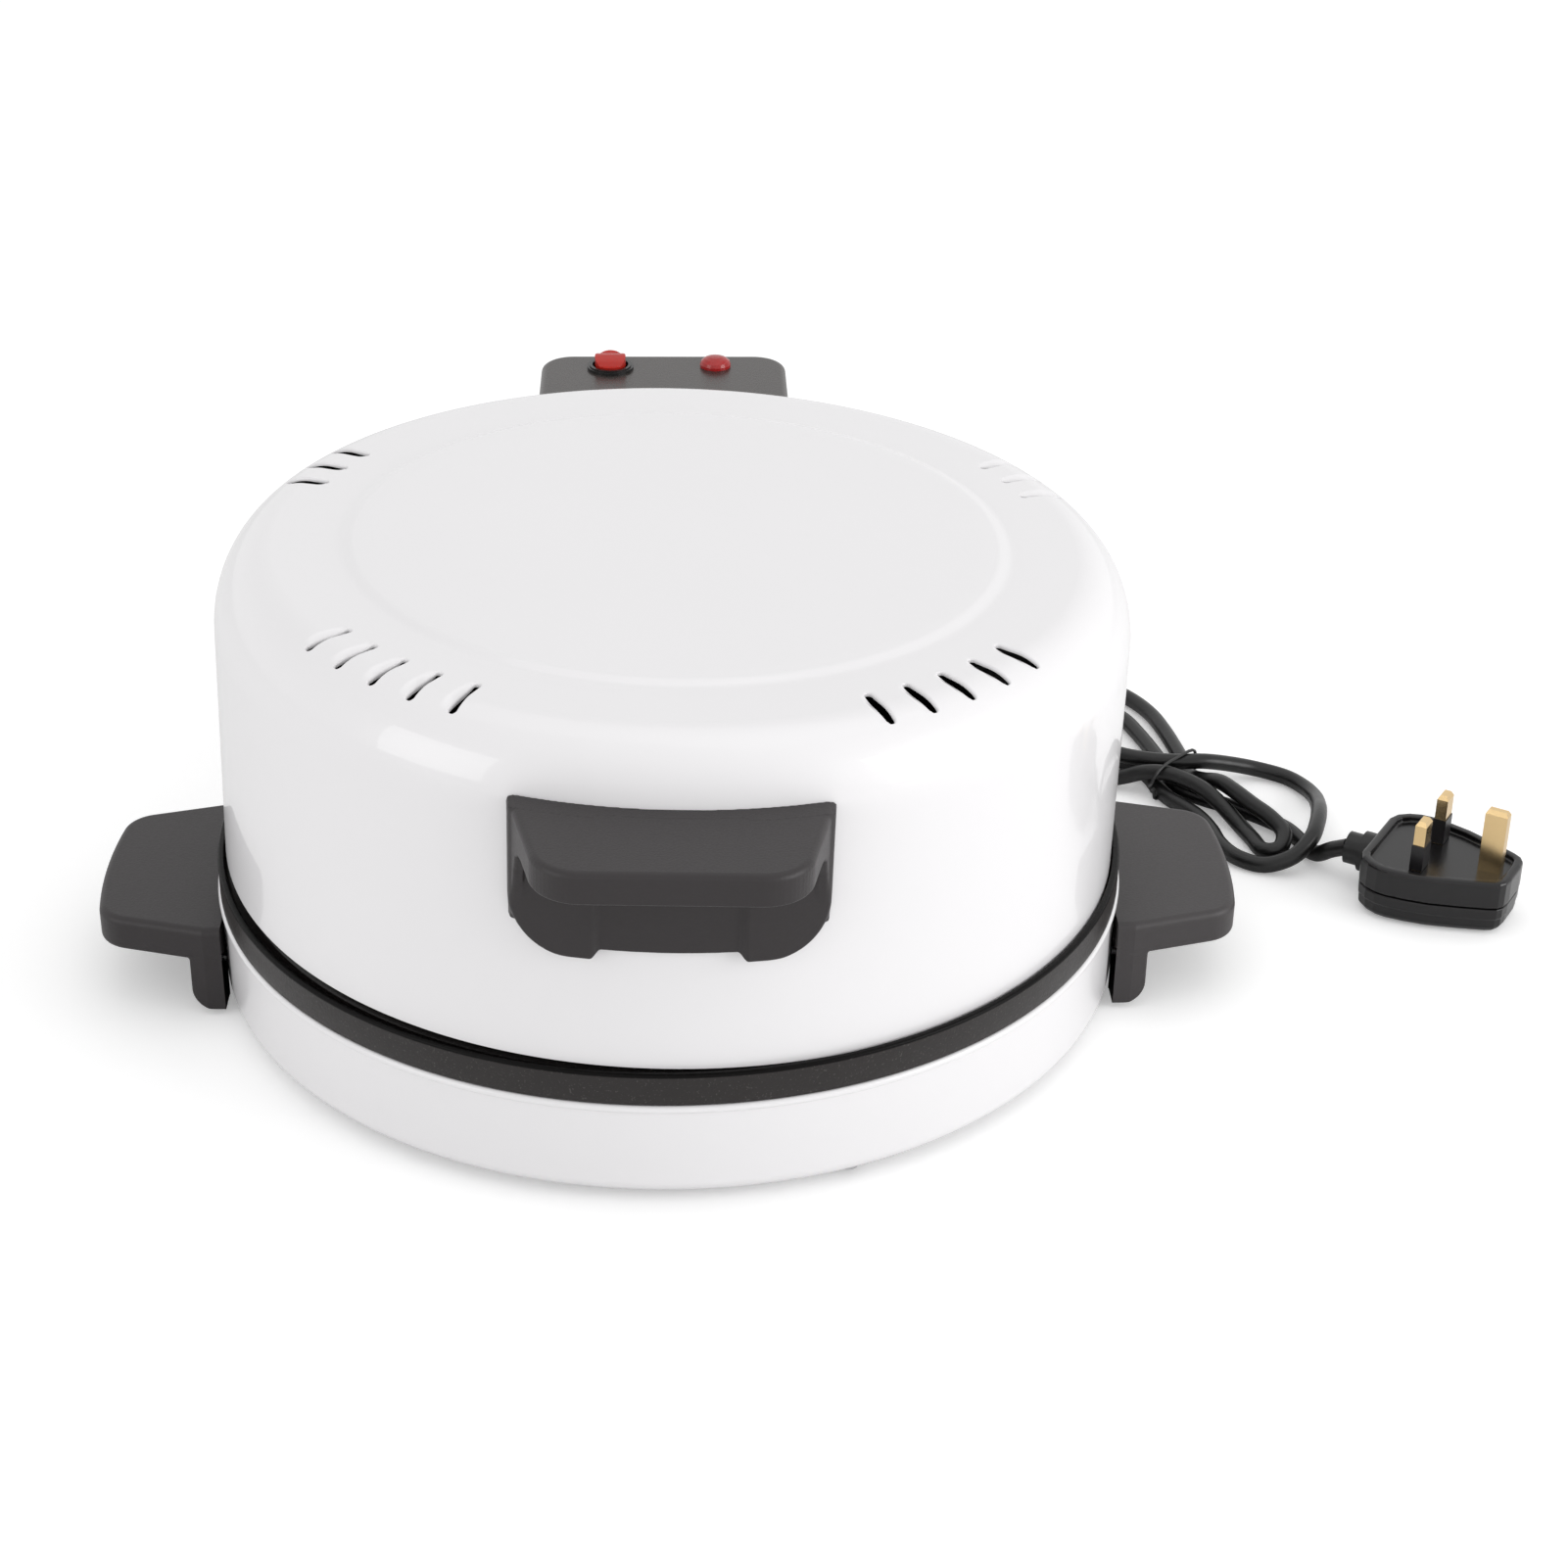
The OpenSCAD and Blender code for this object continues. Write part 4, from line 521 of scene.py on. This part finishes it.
def lid_field(x, y, z):
    """Distance from the lid's outer skin, in the lid's own leaning frame."""
    r = np.hypot(x, y)
    wall = r - (LID_R - DRAFT * np.clip((z - LID_Z) / (WALL_TOP - LID_Z), 0, 1))
    u, w = (r - FLAT_R) / SH_W, (z - WALL_TOP) / SH_H
    e = np.sqrt(u * u + w * w) + 1e-9
    g = np.sqrt((u / SH_W) ** 2 + (w / SH_H) ** 2) / e + 1e-9
    shoulder = (e - 1) / g
    out = np.where(z < WALL_TOP, wall, np.where(r > FLAT_R, shoulder, z - LID_Z - LID_H))
    return out


def net(name, field, low, high, step, look, body, node, lean=False, turn=None):
    """Meshes a field's zero level with a grid of that step; the shading follows the field itself."""
    ax = [np.arange(a, b + step, step) for a, b in zip(low, high)]
    X, Y, Z = ax[0][:, None, None], ax[1][None, :, None], ax[2][None, None, :]
    F = np.broadcast_to(field(X, Y, Z), tuple(len(a) for a in ax)).astype(np.float64)
    inside = F < 0
    c = [(i, j, k) for i in (0, 1) for j in (0, 1) for k in (0, 1)]
    n = [len(a) - 1 for a in ax]
    part = lambda A, q: A[q[0]:q[0] + n[0], q[1]:q[1] + n[1], q[2]:q[2] + n[2]]
    total = sum(part(inside, q).astype(np.int8) for q in c)
    cell = np.argwhere((total > 0) & (total < 8))
    index = np.full(tuple(n), -1, np.int64)
    index[tuple(cell.T)] = np.arange(len(cell))
    acc = np.zeros((len(cell), 3))
    hits = np.zeros(len(cell))
    for a in c:
        for axis in range(3):
            if a[axis]:
                continue
            b = list(a)
            b[axis] = 1
            fa = F[tuple((cell + a).T)]
            fb = F[tuple((cell + b).T)]
            cross = (fa < 0) != (fb < 0)
            t = np.where(cross, fa / np.where(cross, fa - fb, 1), 0)
            p = np.array(a, float)[None] + 0 * acc
            p[:, axis] += t
            acc += np.where(cross[:, None], p, 0)
            hits += cross
    pos = (cell + acc / hits[:, None]) * step + np.array([a[0] for a in ax])

    def slope(p):
        h = 0.02
        step_of = [[h if a == k else 0 for k in range(3)] for a in range(3)]
        return np.stack([field(*(p[:, k] + d[k] for k in range(3))) - field(*(p[:, k] - d[k] for k in range(3)))
                         for d in step_of], axis=1) / (2 * h)

    for _ in range(3):
        g = slope(pos)
        f = field(pos[:, 0], pos[:, 1], pos[:, 2])
        move = -f[:, None] * g / np.maximum((g * g).sum(1), 0.3)[:, None]
        length = np.linalg.norm(move, axis=1)
        pos += move * np.minimum(1, 0.5 * step / np.maximum(length, 1e-9))[:, None]
    normal = slope(pos)
    normal /= np.maximum(np.linalg.norm(normal, axis=1), 1e-9)[:, None]
    quads = []
    for axis in range(3):
        o1, o2 = [a for a in range(3) if a != axis]
        sl = [slice(1, -1)] * 3
        sl[axis] = slice(0, -1)
        sh = [slice(1, -1)] * 3
        sh[axis] = slice(1, None)
        A, B = inside[tuple(sl)], inside[tuple(sh)]
        edge = np.argwhere(A != B)
        base = edge.copy()
        base[:, o1] += 1
        base[:, o2] += 1
        ids = []
        for d1, d2 in ((0, 0), (1, 0), (1, 1), (0, 1)):
            q = base.copy()
            q[:, o1] -= d1
            q[:, o2] -= d2
            ids.append(index[tuple(q.T)])
        ids = np.stack(ids, axis=1)
        out = A[tuple(edge.T)]
        if axis == 1:
            out = ~out
        ids[~out] = ids[~out][:, ::-1]
        quads.append(ids[:, ::-1])
    quads = np.vstack(quads)
    quads = quads[(quads >= 0).all(1)]
    # faces wound with the field's slope
    a, b, d = pos[quads[:, 0]], pos[quads[:, 1]], pos[quads[:, 3]]
    facing = (np.cross(b - a, d - a) * normal[quads[:, 0]]).sum(1) < 0
    quads[facing] = quads[facing][:, ::-1]
    if turn is not None:
        pos = turn(pos)
        normal = turn(normal + 0) - turn(normal * 0)
    if lean:
        pos = leaned(pos)
        normal = leaned(normal + [0, 0, LID_Z]) - [0, 0, LID_Z]
    return add(name, pos, quads, look, body, node, normals=normal)


# front handle
SHIFT, LIP, HY = -1.6, 9.8, -182.0
HTOP, HFOOT = LID_Z + 86, LID_Z + 38.5
PLAN_H = hull2([(-47, LID_R * -1 + 12), (47, LID_R * -1 + 12)] + arc(24.5, HY + 15, 15, -95, 0, 16)
               + [(-x, y) for x, y in arc(24.5, HY + 15, 15, -95, 0, 16)])
CHEEK = [(-LID_R + 20, HFOOT + 9), (-LID_R + 5.5, HFOOT + 9), (-LID_R + 1.6, HFOOT + 20),
         (-LID_R - 0.8, HTOP - LIP - 9), (-LID_R - 3.2, HTOP - LIP - 3.6), (-LID_R - 7.5, HTOP - LIP - 0.8), (-LID_R - 13, HTOP - LIP),
         (HY - 8, HTOP - LIP), (HY - 8, HTOP + 8), (-LID_R + 20, HTOP + 8)]
BACK = [(-27.8, HFOOT + 18), (27.8, HFOOT + 18), (27.8, HTOP + 20), (-27.8, HTOP + 20)]


def step_up(t):
    t = np.clip(t, 0, 1)
    return t * t * (3 - 2 * t)


def handle_field(x, y, z):
    u = x - SHIFT
    plan = poly(u, y, PLAN_H)
    body = r_and(plan, z - HTOP, 2.2)
    body = r_and(body, poly(y, z, CHEEK), 0.7)
    hollow = r_and(plan + 3.0, z - HTOP + 3.0, 3.0)
    body = r_and(body, -hollow, 0.6)
    r = np.hypot(x, y)
    side = step_up((np.abs(u) - 19.4) / 3.4)
    plate = r - (LID_R + 2.6 + 2.0 * side)
    outline = poly(u, z, BACK) - 18
    low_edge = HFOOT + 2.5 * (1 - side) - z
    back = r_and(r_and(plate, outline, 0.9), low_edge, 0.9)
    back = np.maximum(np.maximum(back, z - HTOP + 1.0), y + 90)
    return r_and(r_or(body, back, 1.4), 0.12 - lid_field(x, y, z), 0.2)


net("lid_handle", handle_field, (-50, -184, HFOOT - 1), (47, -128, HTOP + 1), 0.5, "handle_plastic", "lid",
    "front_handle", lean=True)

# side handles
(_, _, leg_low), (_, _, side_top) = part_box("side_handle_right")
side_top = side_top / MM
leg_low = leg_low / MM
SIDE_LOW = side_top - 12
SIDE_R, SIDE_CORNER = 189.5, 12
corner_y = 36 - SIDE_CORNER
corner_x = math.sqrt((SIDE_R - SIDE_CORNER) ** 2 - corner_y ** 2)
SIDE_ARC = arc(corner_x, corner_y, SIDE_CORNER, 0, 90, 16)
PLAN_S = hull2([(140, -43.3), (140, 43.3), (152, 43.3), (152, -43.3)]
               + SIDE_ARC + [(x, -y) for x, y in SIDE_ARC] + arc(0, 0, SIDE_R, -7.7, 7.7, 24))
LEG = hull2([(140, leg_low), (140, SIDE_LOW + 1), (157, SIDE_LOW + 1)] + arc(150, leg_low + 7, 7, -90, 0, 12))


def side_field(x, y, z):
    plan = poly(x, y, PLAN_S)
    shelf = r_and(plan, np.maximum(z - side_top, SIDE_LOW - z), 2.0)
    shelf = np.maximum(shelf, r_and(plan, z - side_top, 2.4))
    leg = np.maximum(plan, poly(x, z, LEG))
    hollow = r_and(plan + 3, z - side_top + 3, 2)
    body = r_or(r_and(shelf, -hollow, 0.8), r_and(plan, poly(x, z, LEG), 0.8), 0.8)
    return r_and(body, 149.85 - np.hypot(x, y) + 0 * z, 0.3)


low_s, high_s = (146, -44.5, leg_low - 1), (191, 44.5, side_top + 1)
# the right handle takes the lighter copy of its plastic, which is painted light; the left takes handle_plastic
net("handle_right", side_field, low_s, high_s, 0.5, "handle_right", "base", "side_handle_right")
net("handle_left", side_field, low_s, high_s, 0.5, "handle_plastic", "base", "side_handle_left",
    turn=lambda p: p * np.array([-1, -1, 1]))

# rear housing
BOX_LOW, BOX_TOP, BACK_Y = 62.0, 138.0, 202.0
BOX_CORNER = 12
BOX_PLAN = hull2([(-48, 90), (44, 90)] + arc(32, BACK_Y - BOX_CORNER, BOX_CORNER, 0, 90, 16)
                 + arc(-36, BACK_Y - BOX_CORNER, BOX_CORNER, 90, 180, 16))


def box_field(x, y, z):
    plan = poly(x, y, BOX_PLAN)
    body = r_and(plan, z - BOX_TOP, 2.6)
    body = r_and(body, BOX_LOW - z, 1.5)
    body = r_and(body, -r_and(plan + 2.5, np.maximum(z - BOX_TOP + 2.5, BOX_LOW + 2.5 - z), 1.5), 0.3)
    hole = np.maximum(np.hypot(x + 22, y - 188) - 7.55, 120 - z)
    slot = np.maximum(np.maximum(np.abs(x) - 25.8, np.abs(y - 165.9) - 1.9), z - 70)
    body = np.maximum(np.maximum(body, -hole), -slot)
    c, sn = math.cos(LEAN), math.sin(LEAN)
    lx = x * c - (z - LID_Z) * sn
    lz = LID_Z + x * sn + (z - LID_Z) * c
    return r_and(body, 0.12 - lid_field(lx, y, lz), 0.2)


net("rear_housing", box_field, (-49.5, 130, BOX_LOW - 1), (45.5, BACK_Y + 1, BOX_TOP + 1), 0.6,
    "housing_plastic", "lid", "control_housing")


# plug
PLUG_AT, PLUG_TURN = (266.4, 26.3), math.radians(-32.3)
HALF = [(-20, 0), (-20, 14), (-18.5, 18), (-15, 21), (-11, 22.6), (-7, 23), (0, 22.2), (8, 20.5), (18, 16.8),
        (27, 13), (29.6, 11.4), (31, 9), (31.5, 5), (31.5, 0)]
PLUG_INSET = 0.05
PLAN_P = hull2([(x + PLUG_INSET if x < 0 else x - PLUG_INSET, s * (y - PLUG_INSET if y else 0))
                for x, y in HALF for s in (-1, 1)])


def plug_turn(p):
    c, sn = math.cos(PLUG_TURN), math.sin(PLUG_TURN)
    q = np.array(p, float)
    q[:, 0] = PLUG_AT[0] + p[:, 0] * c - p[:, 1] * sn
    q[:, 1] = PLUG_AT[1] + p[:, 0] * sn + p[:, 1] * c
    return q


def plug_base_field(x, y, z):
    plan = poly(x, y, PLAN_P)
    body = r_and(plan, z - 20.9, 1.4)
    body = r_and(body, 10.9 - z, 0.4)
    recess = r_and(plan + 3.2, 18.8 - z, 0.8)
    return np.maximum(r_and(body, -recess, 0.7), np.maximum(10.55 - z, plan))


def plug_cover_field(x, y, z):
    plan = poly(x, y, PLAN_P)
    dent = r_and(-0.6 - plan, np.maximum(z - 6.4, 3.2 - z), 0.6)
    body = r_and(r_and(plan + 0.2, z - 10.3, 0.5), 0.1 - z, 5.0)
    return r_and(body, -dent, 0.4)


plug_body = net("plug_body", plug_base_field, (-21, -24, 10.4), (33, 24, 22), 0.5, "plug_plastic", "base",
                "plug_base", turn=plug_turn)
plug_back = net("plug_back", plug_cover_field, (-21, -24, 0), (33, 24, 11), 0.5, "plug_plastic", "base",
                "plug_cover", turn=plug_turn)

# turned pieces
def lathe(name, profile, look, body, node, turns=360, smooth=35):
    """Turns a closed profile of (radius, height) about the plate's axis."""
    n = len(profile)
    a = np.arange(turns) * 2 * math.pi / turns
    pts = [(r * math.cos(t), r * math.sin(t), z) for t in a for r, z in profile]
    faces = [(i * n + j, ((i + 1) % turns) * n + j, ((i + 1) % turns) * n + (j + 1) % n, i * n + (j + 1) % n)
             for i in range(turns) for j in range(n)]
    return add(name, pts, faces, look, body, node, smooth=smooth)


RIM_TOP, PAN_TOP, PAN_Z = 47.6, 36.6, 4.0
pan_out = arc(144.7, PAN_Z + 5, 5, -90, 0, 12)
pan_in = arc(144.7, PAN_Z + 5, 4, 0, -90, 8)
bead = arc(149.7 - 0.3, PAN_TOP - 1.3, 1.3, -75, 200, 22)
lathe("pan_shell", [(138.8, PAN_Z)] + pan_out + bead + pan_in + [(138.8, PAN_Z + 1)], "pan_enamel", "base",
      "base_pan")
cook_r, cook_z = 142.0, RIM_TOP - 1.1
plate_profile = [(0.01, 40.5), (145.8, 40.5), (146.6, 38.6), (147, 36.75), (149.4, 36.75)]
plate_profile += arc(149.5, 37.25, 0.5, -90, 0, 5) + arc(149.1, RIM_TOP - 0.9, 0.9, 0, 90, 8)
plate_profile += arc(148.3, RIM_TOP - 0.5, 0.5, 90, 180, 5) + arc(147.8 - 1.2, RIM_TOP - 3.2 + 1.2, 1.2, 0, -90, 5)
plate_profile += arc(cook_r + 2.0, RIM_TOP - 2.6, 0.6, -90, -150, 3) + arc(cook_r - 0.9, cook_z - 0.9, 0.9, 0, 90, 6)
plate_profile += [(cook_r * 0.66, cook_z + 0.275), (cook_r * 0.33, cook_z + 0.45), (0.01, cook_z + 0.5)]
lathe("cooking_plate", plate_profile, "plate_nonstick", "base", "baking_plate")

# floor, world and lamps
def stage_material(name, color, glow):
    m = bpy.data.materials.new(name)
    m.use_nodes = True
    t = m.node_tree
    t.nodes.clear()
    out = t.nodes.new("ShaderNodeOutputMaterial")
    diffuse = t.nodes.new("ShaderNodeBsdfDiffuse")
    diffuse.inputs["Color"].default_value = (*color, 1)
    emit = t.nodes.new("ShaderNodeEmission")
    emit.inputs["Color"].default_value = (1, 1, 1, 1)
    path = t.nodes.new("ShaderNodeLightPath")
    scale = t.nodes.new("ShaderNodeMath")
    scale.operation = "MULTIPLY"
    scale.inputs[1].default_value = glow
    t.links.new(path.outputs["Is Camera Ray"], scale.inputs[0])
    t.links.new(scale.outputs[0], emit.inputs["Strength"])
    both = t.nodes.new("ShaderNodeAddShader")
    t.links.new(diffuse.outputs[0], both.inputs[0])
    t.links.new(emit.outputs[0], both.inputs[1])
    t.links.new(both.outputs[0], out.inputs["Surface"])
    return m


floor_mesh = bpy.data.meshes.new("floor")
floor_mesh.from_pydata([(-4, -3, 0), (4, -3, 0), (4, 5, 0), (-4, 5, 0)], [], [(0, 1, 2, 3)])
floor_mesh.materials.append(stage_material("floor", (0.9, 0.9, 0.9), 0.25))
floor = bpy.data.objects.new("floor", floor_mesh)
bpy.context.collection.objects.link(floor)

world = bpy.data.worlds.new("world")
bpy.context.scene.world = world
world.use_nodes = True
t = world.node_tree
t.nodes.clear()
w_out = t.nodes.new("ShaderNodeOutputWorld")
w_bg = t.nodes.new("ShaderNodeBackground")
w_bg.inputs["Color"].default_value = (1, 1, 1, 1)
w_path = t.nodes.new("ShaderNodeLightPath")
w_b = t.nodes.new("ShaderNodeMath")
w_b.operation = "MAXIMUM"
t.links.new(w_path.outputs["Is Camera Ray"], w_b.inputs[0])
t.links.new(w_path.outputs["Is Transmission Ray"], w_b.inputs[1])
w_a = t.nodes.new("ShaderNodeMath")
w_a.operation = "MAXIMUM"
t.links.new(w_b.outputs[0], w_a.inputs[0])
t.links.new(w_path.outputs["Is Glossy Ray"], w_a.inputs[1])
w_r = t.nodes.new("ShaderNodeMapRange")
w_r.inputs["To Min"].default_value = 0.78
w_r.inputs["To Max"].default_value = 1.0
t.links.new(w_a.outputs[0], w_r.inputs["Value"])
t.links.new(w_r.outputs["Result"], w_bg.inputs["Strength"])
t.links.new(w_bg.outputs[0], w_out.inputs["Surface"])


def lamp(name, at, toward, size_x, size_y, power):
    data = bpy.data.lights.new(name, "AREA")
    data.shape = "RECTANGLE"
    data.size = size_x
    data.size_y = size_y
    data.energy = power
    o = bpy.data.objects.new(name, data)
    bpy.context.collection.objects.link(o)
    o.location = at
    o.rotation_euler = (Vector(toward) - Vector(at)).to_track_quat("-Z", "Y").to_euler()
    return o


lamp("overhead", (0.1, 0.2, 1.7), (0, 0, 0.1), 1.6, 1.2, 2.4)
lamp("right_front", (1.6, -0.75, 0.6), (0, 0, 0.08), 1.1, 1.0, 14)
lamp("left_front", (-1.5, -1.0, 0.6), (0, 0, 0.08), 0.9, 0.9, 5)
lamp("front", (0.1, -1.9, 0.6), (0, 0, 0.08), 1.4, 0.9, 0.6)
